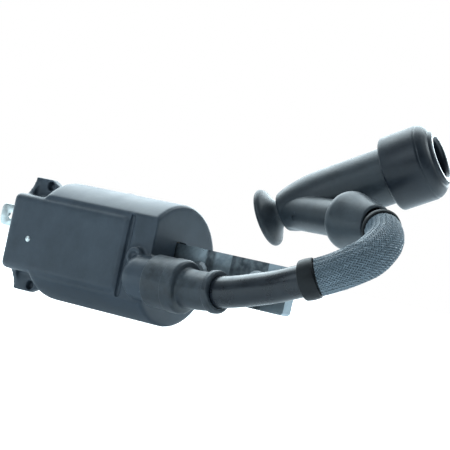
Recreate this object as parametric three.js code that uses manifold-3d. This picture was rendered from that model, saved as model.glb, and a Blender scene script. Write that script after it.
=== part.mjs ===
// Ignition coil for a small engine: a moulded coil on a laminated core bar, a short stiff
// high-tension lead in a braided sleeve, and a spark plug cap with a side entry and a pull knob.
// Millimetres, +Z up. The origin is the centre of the core bar's bolt hole on its back face.
// +X runs along the bar away from the coil, and -Y is the side of the coil's flat face.
import * as THREE from 'three';
import { mergeVertices } from 'three/addons/utils/BufferGeometryUtils.js';
import Module from 'manifold-3d';

const wasm = await Module();
wasm.setup();

// ---- core bar -------------------------------------------------------------------------
const plateCount = 6;
const platePitch = 0.5;
const plateGap = 0.02;
const coreHeight = 10.6;
const coreThickness = plateCount * platePitch;
const boltHoleR = 3.2;
const tipMargin = 8.6;             // bolt hole centre to the bar's free end
const rivetR = 1.5;
const rivetHeadR = 2.4;
const rivetHeadHeight = 0.7;
const rivetClearance = 0.12;
const rivetSides = 12;
const outerRivetX = -15.8;
const axisY = -coreThickness / 2;  // the coil's axis runs through the middle of the bar

// ---- housing --------------------------------------------------------------------------
const shellR = 14;
const drumSides = 44;
const shellWall = 1.6;
const shellEndX = -23.6;           // end face that the bar comes out of
const endWall = 2;
const bodyLength = 43.8;
const mouthX = shellEndX - bodyLength;
const drumSetback = 8.4;             // mouth to where the round drum starts
const drumFillet = 2.4;
const flatDepth = 9.9;             // axis to the flat on the drum's front
const boxLength = 36;
const boxHalfHeight = 9.1;
const boxFaceDepth = 10.9;         // axis to the box's front face
const boxBackDepth = 8;            // axis to the box's back, inside the drum
const boxCornerR = 0.8;
const boxEdge = 0.7;
const lugStart = 1.1;
const lugTopLength = 5;
const lugRampLength = 3.6;
const lugRampDrop = 1.8;
const lugInset = 0.5;              // lug top below the drum's top
const lugFrontDepth = 5.5;
const lugBackDepth = 3.1;
const lugRoot = 1.5;               // how far a lug goes into the box's wall
const lugHoleR = 0.95;
const lugHoleDrop = 1.6;
const gussetWidth = 1.3;
const gussetReach = 1.9;
const grooveWidth = 1.2;           // shadow gap beside the box
const grooveDepth = 0.8;
const grooveOverlap = 0.4;
const passageGap = 0.3;            // bar to the hole it leaves by

// ---- high-tension tower and boot ------------------------------------------------------
const towerOffsetY = -10;          // from the coil's axis
const towerZ = -3.9;
const towerBaseStart = -29.2;
const towerBaseEnd = -21;
const spigotEnd = -13.4;
const towerBoreGap = 0.4;          // lead to the bore it stands in
const spigotWall = 0.7;
const towerStep = 0.6;
const towerBoreStart = -20;
const pinR = 0.9;
const pinHeadR = 1.9;
const pinEnd = -16;
const pinInnerReach = 6.8;          // how far the pin runs back from the bore's floor
const outputWireX = -26.4;
const bootWall = 1.1;
const bootWideEnd = -12;
const bootNeckWall = 0.5;
const bootLip = 0.4;
const bootEnd = -2.6;
const bootGap = 0.3;
const bootLipLength = 1.6;
const bootSides = 22;

// ---- windings -------------------------------------------------------------------------
const bobbinClearance = 0.4;       // bobbin to the step in the housing's wall
const bobbinStart = mouthX + drumSetback + shellWall + bobbinClearance;
const coreInnerEnd = bobbinStart - 3;  // inner end of the bar, inside the coil
const innerRivetX = coreInnerEnd + 6;
const bobbinEnd = shellEndX - 3.4;
const bobbinWall = 0.8;
const coreClearance = 0.3;
const primaryDepth = 1.5;
const windingGap = 0.25;
const flangeThickness = 0.8;
const secondaryDepth = 1.7;
const secondaryWall = 0.7;
const sectionCount = 5;
const sectionWall = 0.6;
const sectionTaper = 0.06;         // the later sections hold more volts and less wire
const layGap = 0.1;                // winding to the bobbin's walls
const resinStart = 0.8;            // mouth to the resin's face
const resinThickness = 3.2;
const resinGap = 0.1;

// ---- primary terminal -----------------------------------------------------------------
const bladeReach = 6.9;
const bladeHeight = 5.2;
const bladeThickness = 0.8;
const bladeOffsetY = -6;           // from the coil's axis
const bladeZ = 3.3;
const bladeRoot = 5.6;             // how far the blade goes in behind the mouth
const bladeHoleR = 0.8;
const slotGap = 0.3;
const wireR = 0.35;

// ---- lead -----------------------------------------------------------------------------
const leadR = 3.5;
const towerBoreR = leadR + towerBoreGap;
const spigotR = towerBoreR + spigotWall;
const towerBaseR = spigotR + towerStep;
const bootWideR = spigotR + bootGap + bootWall;
const leadGap = 0.35;               // lead to whatever is slipped over it
const bootNarrowR = leadR + leadGap + bootNeckWall;
const bootLipR = bootNarrowR + bootLip;
const conductorR = 1;
const leadBoreR = conductorR + 0.4;
const sleeveGap = 0.3;
const sleeveWall = 0.3;
const sleeveR = leadR + sleeveGap + sleeveWall;
const bandWall = 0.65;
const bandR = leadR + leadGap + bandWall;
const bandLength = 3.2;
const capBandLength = 1.6;
const leadStart = -18.7;
const leadSides = 10;
const leadSteps = 22;

// ---- plug cap -------------------------------------------------------------------------
const capCentre = new THREE.Vector3(-10.7, 19.4, 18.4);  // where the entry axis meets the barrel's
const entryAzimuth = -20;
const barrelAzimuth = 13.5;
const barrelElevation = 29.5;
const entryReach = 33;             // cap centre to the seal's mouth
const barrelR = 6.6;
const barrelStart = -1.6;
const barrelEnd = 29;
const barrelShoulder = 6;
const barrelEndR = 4.5;
const socketBoreStart = 21;
const resistorBoreStart = 2.4;
const stubR = 4.2;
const stubStart = 2;
const stubEnd = 22;
const collarStart = 20.5;
const collarEnd = 28.5;
const leadSocketR = leadR + 0.5;
const collarWall = 1.3;
const collarR = leadSocketR + collarWall;
const leadSocketStart = 21.6;
const channelR = 1.5;
const channelStart = 3.6;
const sealGap = 0.3;
const sealWall = 1.1;
const sealRimR = collarR + sealGap + sealWall;
const sealLength = 13.2;
const sealMouthR = leadR + leadGap + 0.75;
const knobR = 6.8;
const knobNeckR = 3;
const knobStart = -6.7;
const knobThickness = 2.5;
const knobStemR = 1.8;
const knobStemEnd = 0.3;
const stemBoreEnd = 0.7;
const skirtWall = 1.9;
const skirtR = barrelR + sealGap + skirtWall;
const skirtStart = 25.9;
const skirtShoulder = 35.2;
const skirtEnd = 38.2;
const skirtMouthR = 4.45;
const skirtInnerR = 5.1;
const screwR = 1;
const screwThread = 0.18;
const screwStart = 4.9;
const screwEnd = 24.5;
const discR = 2.6;
const springR = 2;
const springWire = 0.3;
const springTurns = 4;
const resistorR = 2.4;
const resistorCapR = 2.8;
const resistorBoreR = resistorCapR + 0.3;
const resistorCapLength = 1.4;
const socketR = 3.9;
const socketInnerR = 3.3;
const pieceGap = 0.3;
const clipR = 4.45;
const clipWire = 0.28;
const socketBoreR = clipR + clipWire + 0.27;

// ---- colours --------------------------------------------------------------------------
const finishes = {
  housing: { color: 0x2b2f35, roughness: 0.38, metalness: 0 },
  resin: { color: 0x1c1d20, roughness: 0.3, metalness: 0 },
  core: { color: 0x8d9499, roughness: 0.35, metalness: 1 },
  rivet: { color: 0xa7acb0, roughness: 0.3, metalness: 1 },
  bobbin: { color: 0xcfc8b4, roughness: 0.5, metalness: 0 },
  copper: { color: 0xb4622f, roughness: 0.35, metalness: 1 },
  terminal: { color: 0xd7dad6, roughness: 0.3, metalness: 1 },
  brass: { color: 0xc2a154, roughness: 0.3, metalness: 1 },
  rubber: { color: 0x24272b, roughness: 0.6, metalness: 0 },
  lead: { color: 0x202328, roughness: 0.45, metalness: 0 },
  sleeve: { color: 0x6c7780, roughness: 0.8, metalness: 0 },
  band: { color: 0x121316, roughness: 0.5, metalness: 0 },
  cap: { color: 0x33373d, roughness: 0.4, metalness: 0 },
  ceramic: { color: 0xd9d4c8, roughness: 0.5, metalness: 0 },
  steel: { color: 0x9aa0a5, roughness: 0.3, metalness: 1 },
};

const group = new THREE.Group();
const alongX = new THREE.Vector3(1, 0, 0);
const direction = (azimuth, elevation) => new THREE.Vector3(
  Math.cos(elevation * THREE.MathUtils.DEG2RAD) * Math.cos(azimuth * THREE.MathUtils.DEG2RAD),
  Math.cos(elevation * THREE.MathUtils.DEG2RAD) * Math.sin(azimuth * THREE.MathUtils.DEG2RAD),
  Math.sin(elevation * THREE.MathUtils.DEG2RAD),
);
const entryAxis = direction(entryAzimuth, 0);
const barrelAxis = direction(barrelAzimuth, barrelElevation);
const coilAxisAt = (x) => new THREE.Vector3(x, axisY, 0);
const towerAt = (x) => new THREE.Vector3(x, axisY + towerOffsetY, towerZ);
const entryAt = (reach) => capCentre.clone().addScaledVector(entryAxis, reach);
const barrelAt = (reach) => capCentre.clone().addScaledVector(barrelAxis, reach);

// ---- helpers --------------------------------------------------------------------------
function addPart(name, geometry, finish) {
  const mesh = new THREE.Mesh(geometry, new THREE.MeshStandardMaterial(finishes[finish]));
  mesh.name = name;
  group.add(mesh);
}

function toSolid(geometry) {
  const bare = geometry.index ? geometry.toNonIndexed() : geometry.clone();
  for (const attribute of Object.keys(bare.attributes)) {
    if (attribute !== 'position') bare.deleteAttribute(attribute);
  }
  const merged = mergeVertices(bare, 1e-4);
  return new wasm.Manifold(new wasm.Mesh({
    numProp: 3,
    vertProperties: Float32Array.from(merged.attributes.position.array),
    triVerts: Uint32Array.from(merged.index.array),
  }));
}

function toGeometry(solid) {
  const mesh = solid.getMesh();
  const geometry = new THREE.BufferGeometry();
  geometry.setAttribute('position', new THREE.BufferAttribute(mesh.vertProperties, 3));
  geometry.setIndex(new THREE.BufferAttribute(mesh.triVerts, 1));
  geometry.computeVertexNormals();
  return geometry;
}

function combine(joined, cuts = []) {
  let solid = toSolid(joined[0]);
  for (const geometry of joined.slice(1)) solid = solid.add(toSolid(geometry));
  for (const geometry of cuts) solid = solid.subtract(toSolid(geometry));
  return toGeometry(solid);
}

// Turns a shape made along +Y so that it starts at a point and runs along an axis.
function aim(geometry, start, axis) {
  const turn = new THREE.Quaternion().setFromUnitVectors(new THREE.Vector3(0, 1, 0), axis);
  return geometry.applyQuaternion(turn).translate(start.x, start.y, start.z);
}

// A turned solid: profile points are [radius, distance along the axis].
function turned(profile, start, axis, sides = 26) {
  const points = profile.map(([radius, along]) => new THREE.Vector2(radius, along));
  return aim(new THREE.LatheGeometry(points, sides), start, axis);
}

function rod(radius, from, to, base, axis, sides = 26) {
  return turned([[0, from], [radius, from], [radius, to], [0, to]], base, axis, sides);
}

function block(low, high) {
  const geometry = new THREE.BoxGeometry(high[0] - low[0], high[1] - low[1], high[2] - low[2]);
  return geometry.translate((low[0] + high[0]) / 2, (low[1] + high[1]) / 2, (low[2] + high[2]) / 2);
}

function circlePath(radius, sides, centreX = 0) {
  const path = new THREE.Path();
  for (let i = 0; i < sides; i += 1) {
    const angle = (i / sides) * Math.PI * 2;
    const x = centreX + radius * Math.cos(angle);
    const y = radius * Math.sin(angle);
    if (i === 0) path.moveTo(x, y);
    else path.lineTo(x, y);
  }
  path.closePath();
  return path;
}

// A tube or a solid cord along a curve, with a bore where one is given.
function cordAlong(curve, radius, bore, sides, steps) {
  const section = new THREE.Shape(circlePath(radius, sides).getPoints());
  if (bore > 0) section.holes.push(circlePath(bore, sides));
  return new THREE.ExtrudeGeometry(section, { steps, extrudePath: curve, bevelEnabled: false });
}

// A bar of rounded section lying along X, from one x to another, about the coil's axis.
function roundedBar(halfY, halfZ, corner, fromX, toX, bore) {
  const section = roundedRect(halfY, halfZ, corner);
  if (bore) section.holes.push(roundedRect(bore.halfY, bore.halfZ, bore.corner));
  const options = { depth: toX - fromX, bevelEnabled: false, curveSegments: 3 };
  const geometry = new THREE.ExtrudeGeometry(section, options);
  // shape x becomes Y and shape y becomes Z
  geometry.applyMatrix4(new THREE.Matrix4().set(
    0, 0, 1, fromX,
    1, 0, 0, axisY,
    0, 1, 0, 0,
    0, 0, 0, 1,
  ));
  return geometry;
}

function roundedRect(halfX, halfY, corner) {
  const shape = new THREE.Shape();
  shape.moveTo(halfX, -halfY + corner);
  shape.lineTo(halfX, halfY - corner);
  shape.absarc(halfX - corner, halfY - corner, corner, 0, Math.PI / 2, false);
  shape.lineTo(-halfX + corner, halfY);
  shape.absarc(-halfX + corner, halfY - corner, corner, Math.PI / 2, Math.PI, false);
  shape.lineTo(-halfX, -halfY + corner);
  shape.absarc(-halfX + corner, -halfY + corner, corner, Math.PI, Math.PI * 1.5, false);
  shape.lineTo(halfX - corner, -halfY);
  shape.absarc(halfX - corner, -halfY + corner, corner, Math.PI * 1.5, Math.PI * 2, false);
  return shape;
}

// ---- housing --------------------------------------------------------------------------
function drum() {
  const start = mouthX + drumSetback;
  const length = shellEndX - start;
  const fillet = [];
  const filletSteps = 4;
  for (let i = 0; i <= filletSteps; i += 1) {
    const angle = (i / filletSteps) * (Math.PI / 2);
    fillet.push([
      shellR - drumFillet + drumFillet * Math.sin(angle),
      drumFillet - drumFillet * Math.cos(angle),
    ]);
  }
  const edge = 0.4;
  const profile = [[0, 0], ...fillet, [shellR, length - edge], [shellR - edge, length], [0, length]];
  return turned(profile, coilAxisAt(start), alongX, drumSides);
}

// The flat-faced box on the drum's front, with a rounded front edge.
function frontBox() {
  const outline = roundedRect(boxLength / 2 - boxEdge, boxHalfHeight - boxEdge, boxCornerR);
  const geometry = new THREE.ExtrudeGeometry(outline, {
    depth: boxFaceDepth + boxBackDepth - boxEdge * 2,
    bevelEnabled: true,
    bevelThickness: boxEdge,
    bevelSize: boxEdge,
    bevelSegments: 2,
    curveSegments: 4,
  });
  geometry.rotateX(Math.PI / 2);
  return geometry.translate(mouthX + boxLength / 2, axisY + boxBackDepth - boxEdge, 0);
}

// A flat plate drawn as [along, across] points, given a depth and set on its plane.
function plate(points, depth, matrix) {
  const shape = new THREE.Shape(points.map(([along, across]) => new THREE.Vector2(along, across)));
  const geometry = new THREE.ExtrudeGeometry(shape, { depth, bevelEnabled: false });
  return geometry.applyMatrix4(matrix);
}

// One of the two lugs at the mouth: an eye with a ramp behind it and a gusset before it.
function lug(side) {
  const from = mouthX + lugStart;
  const base = boxHalfHeight - lugRoot;
  const top = shellR - lugInset;
  const topEnd = from + lugTopLength;
  const rampEnd = topEnd + lugRampLength;
  // drawn in X and Z, deep along -Y
  const upright = new THREE.Matrix4().set(
    1, 0, 0, 0,
    0, 0, -1, axisY - lugBackDepth,
    0, 1, 0, 0,
    0, 0, 0, 1,
  );
  const eye = plate([
    [from, base], [from, top], [topEnd, top], [rampEnd, top - lugRampDrop], [rampEnd, base],
  ], lugFrontDepth - lugBackDepth, upright);
  // drawn in Y and Z, deep along X
  const across = new THREE.Matrix4().set(
    0, 0, 1, from,
    1, 0, 0, axisY - lugFrontDepth,
    0, 1, 0, 0,
    0, 0, 0, 1,
  );
  const gusset = plate([
    [-gussetReach, base], [0.1, base], [0.1, top - 0.6], [-gussetReach, boxHalfHeight],
  ], gussetWidth, across);
  const holeStart = new THREE.Vector3(topEnd, axisY - lugFrontDepth - 1, top - lugHoleDrop);
  const hole = rod(lugHoleR, 0, lugFrontDepth - lugBackDepth + 2, holeStart, new THREE.Vector3(0, 1, 0), 14);
  const solid = toSolid(eye).add(toSolid(gusset)).subtract(toSolid(hole));
  return side > 0 ? solid : solid.mirror([0, 0, 1]);
}

function tower() {
  const dome = 3.4;
  const domeSteps = 5;
  const profile = [[0, 0]];
  for (let i = 1; i <= domeSteps; i += 1) {
    const angle = (i / domeSteps) * (Math.PI / 2);
    profile.push([towerBaseR * Math.sin(angle), dome - dome * Math.cos(angle)]);
  }
  const baseLength = towerBaseEnd - towerBaseStart;
  profile.push([towerBaseR, baseLength], [spigotR, baseLength]);
  profile.push([spigotR, spigotEnd - towerBaseStart], [0, spigotEnd - towerBaseStart]);
  return turned(profile, towerAt(towerBaseStart), alongX);
}

// The D-shaped hollow, open at the mouth.
function cavity() {
  const inner = rod(shellR - shellWall, -1, bodyLength - endWall, coilAxisAt(mouthX), alongX, drumSides);
  const front = block(
    [mouthX - 2, axisY - flatDepth + shellWall, -shellR],
    [shellEndX, axisY + shellR, shellR],
  );
  const narrow = block(
    [mouthX - 2, axisY - shellR, -boxHalfHeight + shellWall],
    [mouthX + drumSetback + shellWall, axisY + boxBackDepth - shellWall, boxHalfHeight - shellWall],
  );
  const wide = block(
    [mouthX + drumSetback + shellWall, axisY - shellR, -shellR],
    [shellEndX, axisY + shellR, shellR],
  );
  return toSolid(inner).intersect(toSolid(front)).intersect(toSolid(narrow).add(toSolid(wide)));
}

function housing() {
  const flatCut = block(
    [mouthX - 5, axisY - shellR - 2, -shellR - 2],
    [shellEndX + 5, axisY - flatDepth, shellR + 2],
  );
  const passage = block(
    [shellEndX - endWall - 1, -coreThickness - passageGap, -coreHeight / 2 - passageGap],
    [shellEndX + 1, passageGap, coreHeight / 2 + passageGap],
  );
  const leadBore = rod(towerBoreR, 0, spigotEnd - towerBoreStart + 1, towerAt(towerBoreStart), alongX);
  const pinBoreStart = towerAt(towerBoreStart - pinInnerReach - slotGap);
  const pinBore = rod(pinR + slotGap, 0, pinInnerReach + 1, pinBoreStart, alongX, 16);
  const crossBore = block(
    [outputWireX - 0.8, axisY + towerOffsetY, towerZ - 1.2],
    [outputWireX + 0.8, axisY - flatDepth + shellWall + 1.2, towerZ + 1.2],
  );
  const grooveStart = mouthX + boxLength - 0.1;
  const groove = block(
    [grooveStart, axisY - flatDepth - 1, -boxHalfHeight - grooveOverlap],
    [grooveStart + grooveWidth, axisY - flatDepth + grooveDepth, boxHalfHeight + grooveOverlap],
  );
  const solid = toSolid(drum())
    .subtract(toSolid(flatCut))
    .subtract(toSolid(groove))
    .add(toSolid(frontBox()))
    .add(lug(1))
    .add(lug(-1))
    .subtract(cavity())
    .add(toSolid(tower()).subtract(cavity()))
    .subtract(toSolid(passage))
    .subtract(toSolid(leadBore))
    .subtract(toSolid(pinBore))
    .subtract(toSolid(crossBore));
  return toGeometry(solid);
}

function resin() {
  const from = mouthX + resinStart;
  const back = axisY + boxBackDepth - shellWall - resinGap;
  const front = axisY - flatDepth + shellWall + resinGap;
  const top = boxHalfHeight - shellWall - resinGap;
  const plug = block([from, front, -top], [from + resinThickness, back, top]);
  const round = rod(shellR - shellWall - resinGap, -1, 9, coilAxisAt(mouthX), alongX, drumSides);
  const bladeSlot = block(
    [mouthX - 1, axisY + bladeOffsetY - bladeThickness / 2 - slotGap, bladeZ - bladeHeight / 2 - slotGap],
    [mouthX + 9, axisY + bladeOffsetY + bladeThickness / 2 + slotGap, bladeZ + bladeHeight / 2 + slotGap],
  );
  return toGeometry(toSolid(plug).intersect(toSolid(round)).subtract(toSolid(bladeSlot)));
}

// ---- core -----------------------------------------------------------------------------
function lamination(index) {
  const shape = new THREE.Shape();
  const half = coreHeight / 2;
  const corner = 0.6;
  shape.moveTo(coreInnerEnd, -half);
  shape.lineTo(tipMargin - corner, -half);
  shape.lineTo(tipMargin, -half + corner);
  shape.lineTo(tipMargin, half - corner);
  shape.lineTo(tipMargin - corner, half);
  shape.lineTo(coreInnerEnd, half);
  shape.closePath();
  shape.holes.push(circlePath(boltHoleR, 20));
  for (const x of [innerRivetX, outerRivetX]) {
    shape.holes.push(circlePath(rivetR + rivetClearance, rivetSides, x));
  }
  const options = { depth: platePitch - plateGap, bevelEnabled: false };
  const geometry = new THREE.ExtrudeGeometry(shape, options);
  geometry.rotateX(Math.PI / 2);
  return geometry.translate(0, -index * platePitch, 0);
}

function rivet(x) {
  const away = new THREE.Vector3(0, -1, 0);
  const headGap = 0.05;
  const total = coreThickness + headGap * 2;
  const dome = rivetHeadHeight * 0.6;
  const profile = [
    [0, -rivetHeadHeight], [rivetHeadR - 0.7, -rivetHeadHeight], [rivetHeadR, -rivetHeadHeight + dome],
    [rivetHeadR, 0], [rivetR, 0], [rivetR, total], [rivetHeadR, total],
    [rivetHeadR, total + rivetHeadHeight - dome], [rivetHeadR - 0.7, total + rivetHeadHeight],
    [0, total + rivetHeadHeight],
  ];
  return turned(profile, new THREE.Vector3(x, headGap, 0), away, rivetSides);
}

// ---- windings -------------------------------------------------------------------------
const primaryInner = { halfY: coreThickness / 2 + coreClearance, halfZ: coreHeight / 2 + coreClearance };
const layer = (depth) => ({
  halfY: primaryInner.halfY + depth,
  halfZ: primaryInner.halfZ + depth,
  corner: 0.3 + depth,
});
const rivetRoom = rivetHeadHeight + 0.4;  // the bobbin clears the inner rivet's heads
const bobbinInner = layer(rivetRoom);
const bobbinOuter = layer(rivetRoom + bobbinWall);
const primaryOuter = layer(rivetRoom + bobbinWall + primaryDepth);
const secondaryInner = layer(rivetRoom + bobbinWall + primaryDepth + windingGap);
const secondaryTube = layer(rivetRoom + bobbinWall + primaryDepth + windingGap + secondaryWall);
const secondaryOuter = layer(
  rivetRoom + bobbinWall + primaryDepth + windingGap + secondaryWall + secondaryDepth,
);

function bar(outer, inner, fromX, toX) {
  return roundedBar(outer.halfY, outer.halfZ, outer.corner, fromX, toX, inner);
}

function primaryBobbin() {
  return combine([
    bar(bobbinOuter, bobbinInner, bobbinStart, bobbinEnd),
    bar(primaryOuter, bobbinInner, bobbinStart, bobbinStart + flangeThickness),
    bar(primaryOuter, bobbinInner, bobbinEnd - flangeThickness, bobbinEnd),
  ]);
}

function primaryWinding() {
  const inner = layer(rivetRoom + bobbinWall + 0.05);
  const from = bobbinStart + flangeThickness + 0.1;
  const outer = layer(rivetRoom + bobbinWall + primaryDepth - layGap);
  return bar(outer, inner, from, bobbinEnd - flangeThickness - layGap);
}

const sectionPitch = (bobbinEnd - bobbinStart - sectionWall) / sectionCount;

function secondaryBobbin() {
  const inset = sectionWall / 2;  // the tube's ends lie inside the end walls
  const pieces = [bar(secondaryTube, secondaryInner, bobbinStart + inset, bobbinEnd - inset)];
  for (let i = 0; i <= sectionCount; i += 1) {
    const from = bobbinStart + i * sectionPitch;
    pieces.push(bar(secondaryOuter, secondaryInner, from, from + sectionWall));
  }
  return combine(pieces);
}

function secondarySection(index) {
  const from = bobbinStart + index * sectionPitch + sectionWall + layGap;
  const depth = rivetRoom + bobbinWall + primaryDepth + windingGap + secondaryWall;
  const outer = layer(depth + secondaryDepth - layGap * 2 - index * sectionTaper);
  return bar(outer, layer(depth + layGap / 2), from, from + sectionPitch - sectionWall - layGap * 2);
}

// ---- terminal and wires ---------------------------------------------------------------
function blade() {
  const half = bladeHeight / 2;
  const nose = 1;
  const shape = new THREE.Shape();
  shape.moveTo(bladeRoot, -half);
  shape.lineTo(bladeRoot, half);
  shape.lineTo(-bladeReach + nose, half);
  shape.lineTo(-bladeReach, half - nose);
  shape.lineTo(-bladeReach, -half + nose);
  shape.lineTo(-bladeReach + nose, -half);
  shape.closePath();
  const hole = new THREE.Path();
  hole.absarc(-bladeReach + 3.2, 0, bladeHoleR, 0, Math.PI * 2, false);
  shape.holes.push(hole);
  const options = { depth: bladeThickness, bevelEnabled: false, curveSegments: 6 };
  const geometry = new THREE.ExtrudeGeometry(shape, options);
  geometry.rotateX(Math.PI / 2);
  return geometry.translate(mouthX, axisY + bladeOffsetY + bladeThickness / 2, bladeZ);
}

function wire(points) {
  const curve = new THREE.CatmullRomCurve3(points.map((p) => new THREE.Vector3(...p)));
  return cordAlong(curve, wireR, 0, 6, 10);
}

// From the start of the primary winding to the root of the blade.
function feedWire() {
  const bladeBack = mouthX + bladeRoot;
  const side = axisY - primaryOuter.halfY;
  return wire([
    [bladeBack + 0.6, axisY + bladeOffsetY, bladeZ + 1],
    [bladeBack + 0.9, axisY + bladeOffsetY, bladeZ - 1],
    [bobbinStart - 0.8, side + 1, bladeZ - 3],
    [bobbinStart - 0.8, side + 2, bladeZ - 4],
  ]);
}

// From the end of the primary winding to the core, which is the ground.
function groundWire() {
  return wire([
    [coreInnerEnd - 1.3, axisY + 4.6, -4],
    [coreInnerEnd - 1.5, axisY + 3.4, -3.4],
    [coreInnerEnd - 1.3, axisY + 1.4, -2.6],
    [coreInnerEnd - 0.6, axisY + 0.4, -2],
  ]);
}

// From the last secondary section to the pin in the tower.
function outputWire() {
  return wire([
    [outputWireX, axisY + towerOffsetY + pinR + 0.2, towerZ],
    [outputWireX, axisY - flatDepth + shellWall + 0.3, towerZ],
    [outputWireX, axisY - 6.6, towerZ + 0.4],
    [outputWireX, axisY - 5.2, towerZ + 1.4],
  ]);
}

function towerPin() {
  const profile = [
    [0, -pinInnerReach], [pinR, -pinInnerReach], [pinR, 0.2], [pinHeadR, 0.3], [pinHeadR, 0.9], [pinR, 1],
    [pinR, pinEnd - towerBoreStart - 1], [0, pinEnd - towerBoreStart],
  ];
  return turned(profile, towerAt(towerBoreStart), alongX, 14);
}

// ---- lead -----------------------------------------------------------------------------
// Chosen by hand: out of the boot, round one wide turn and back into the cap's seal.
const leadRoute = [
  [-13, -11.5, -3.9],
  [-8, -11.6, -3.8],
  [-3, -11.9, -3.2],
  [2, -12.3, -2.2],
  [7, -12.5, -0.8],
  [11.5, -12.4, 0.6],
  [16, -11.9, 2.5],
  [20.1, -10.8, 4.4],
  [23.4, -9.1, 6.4],
  [26.1, -6.9, 8.7],
  [27.6, -4.1, 10.9],
  [27.8, -1.2, 13.2],
  [26.9, 1.8, 15.2],
  [24.3, 5.1, 17.1],
];

function routeCurve() {
  const points = [towerAt(leadStart)];
  for (const point of leadRoute) points.push(new THREE.Vector3(...point));
  points.push(entryAt(entryReach));
  points.push(entryAt(entryReach - 4));
  points.push(entryAt(leadSocketStart + pieceGap));
  return new THREE.CatmullRomCurve3(points, false, 'centripetal');
}

// The part of the route between two shares of its length.
class RouteStretch extends THREE.Curve {
  constructor(route, from, to) {
    super();
    this.route = route;
    this.from = from;
    this.to = to;
  }

  getPoint(t, target = new THREE.Vector3()) {
    return this.route.getPointAt(this.from + (this.to - this.from) * t, target);
  }
}

const route = routeCurve();
const routeLength = route.getLength();
const sleeveFrom = 41;             // along the lead from its start in the tower
const sleeveTo = routeLength - (entryReach - leadSocketStart) - 3.8;
const share = (distance) => distance / routeLength;

function leadPiece(from, to, radius, bore, steps, sides = leadSides) {
  const stretch = new RouteStretch(route, share(from), share(to));
  return cordAlong(stretch, radius, bore, sides, steps);
}

// The boot's wide end grips the tower and its narrow end follows the lead.
function towerBoot() {
  const start = towerBaseEnd + bootGap;
  const wide = bootWideEnd - start;
  const grip = spigotR + bootGap;
  const gripEnd = spigotEnd + bootGap - start;
  const cup = turned([
    [grip, 0], [bootWideR - 0.3, 0], [bootWideR, 0.4], [bootWideR, wide - 1.2],
    [bootWideR - 0.4, wide - 0.5], [bootNarrowR + 0.5, wide], [0, wide], [0, gripEnd], [grip, gripEnd],
    [grip, 0],
  ], towerAt(start), alongX);
  const neckFrom = bootWideEnd - leadStart - 1;
  const neckTo = bootEnd - leadStart;
  const neck = leadPiece(neckFrom, neckTo, bootNarrowR, 0, 5, bootSides);
  const lip = leadPiece(neckTo - bootLipLength, neckTo, bootLipR, 0, 1, bootSides);
  const hole = leadPiece(gripEnd + start - leadStart - 1, neckTo + 1, leadR + leadGap, 0, 6, bootSides);
  return combine([cup, neck, lip], [hole]);
}

// ---- plug cap -------------------------------------------------------------------------
function barrelBlank() {
  const shoulderSteps = 4;
  const profile = [[0, barrelStart], [barrelEndR, barrelStart]];
  for (let i = 1; i <= shoulderSteps; i += 1) {
    const angle = (i / shoulderSteps) * (Math.PI / 2);
    profile.push([
      barrelEndR + (barrelR - barrelEndR) * Math.sin(angle),
      barrelStart + barrelShoulder * (1 - Math.cos(angle)) * 0.9 + 0.3 * i,
    ]);
  }
  profile.push([barrelR, barrelEnd], [0, barrelEnd]);
  return turned(profile, capCentre, barrelAxis, 30);
}

function capBody() {
  return combine(
    [
      barrelBlank(),
      rod(stubR, stubStart, stubEnd, capCentre, entryAxis),
      rod(collarR, collarStart, collarEnd, capCentre, entryAxis),
    ],
    [
      rod(resistorBoreR, resistorBoreStart, barrelEnd + 1, capCentre, barrelAxis),
      rod(socketBoreR, socketBoreStart, barrelEnd + 1, capCentre, barrelAxis),
      rod(knobStemR + 0.2, barrelStart - 1, stemBoreEnd, capCentre, barrelAxis, 20),
      rod(leadSocketR, leadSocketStart, collarEnd + 1, capCentre, entryAxis),
      rod(channelR, channelStart, leadSocketStart + 1, capCentre, entryAxis, 20),
    ],
  );
}

function entrySeal() {
  const back = entryReach - sealLength;
  const overCollar = collarR + sealGap;
  const profile = [
    [stubR + sealGap, back], [sealRimR - 1.2, back], [sealRimR - 0.5, back + 0.5],
    [sealRimR, back + 1.5], [sealRimR, back + 2.8], [sealRimR - 0.3, back + 3.7],
    [sealMouthR + 0.1, entryReach - 0.9],
    [sealMouthR - 0.2, entryReach], [leadSocketR, entryReach], [leadSocketR, collarEnd + sealGap],
    [overCollar, collarEnd + sealGap], [overCollar, collarStart - sealGap],
    [stubR + sealGap, collarStart - sealGap], [stubR + sealGap, back],
  ];
  return turned(profile, capCentre, entryAxis);
}

function pullKnob() {
  const back = knobStart + knobThickness;
  const profile = [
    [0, knobStart - 0.25], [knobR * 0.6, knobStart - 0.1], [knobR - 0.9, knobStart + 0.1],
    [knobR - 0.2, knobStart + 0.6], [knobR, knobStart + 1.25], [knobR - 0.2, back - 0.5],
    [knobR - 0.9, back], [knobNeckR + 0.9, back + 0.3], [knobNeckR, back + 0.9],
    [knobNeckR, barrelStart - pieceGap], [knobStemR, barrelStart - pieceGap], [knobStemR, knobStemEnd],
    [0, knobStemEnd],
  ];
  return turned(profile, capCentre, barrelAxis);
}

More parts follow.
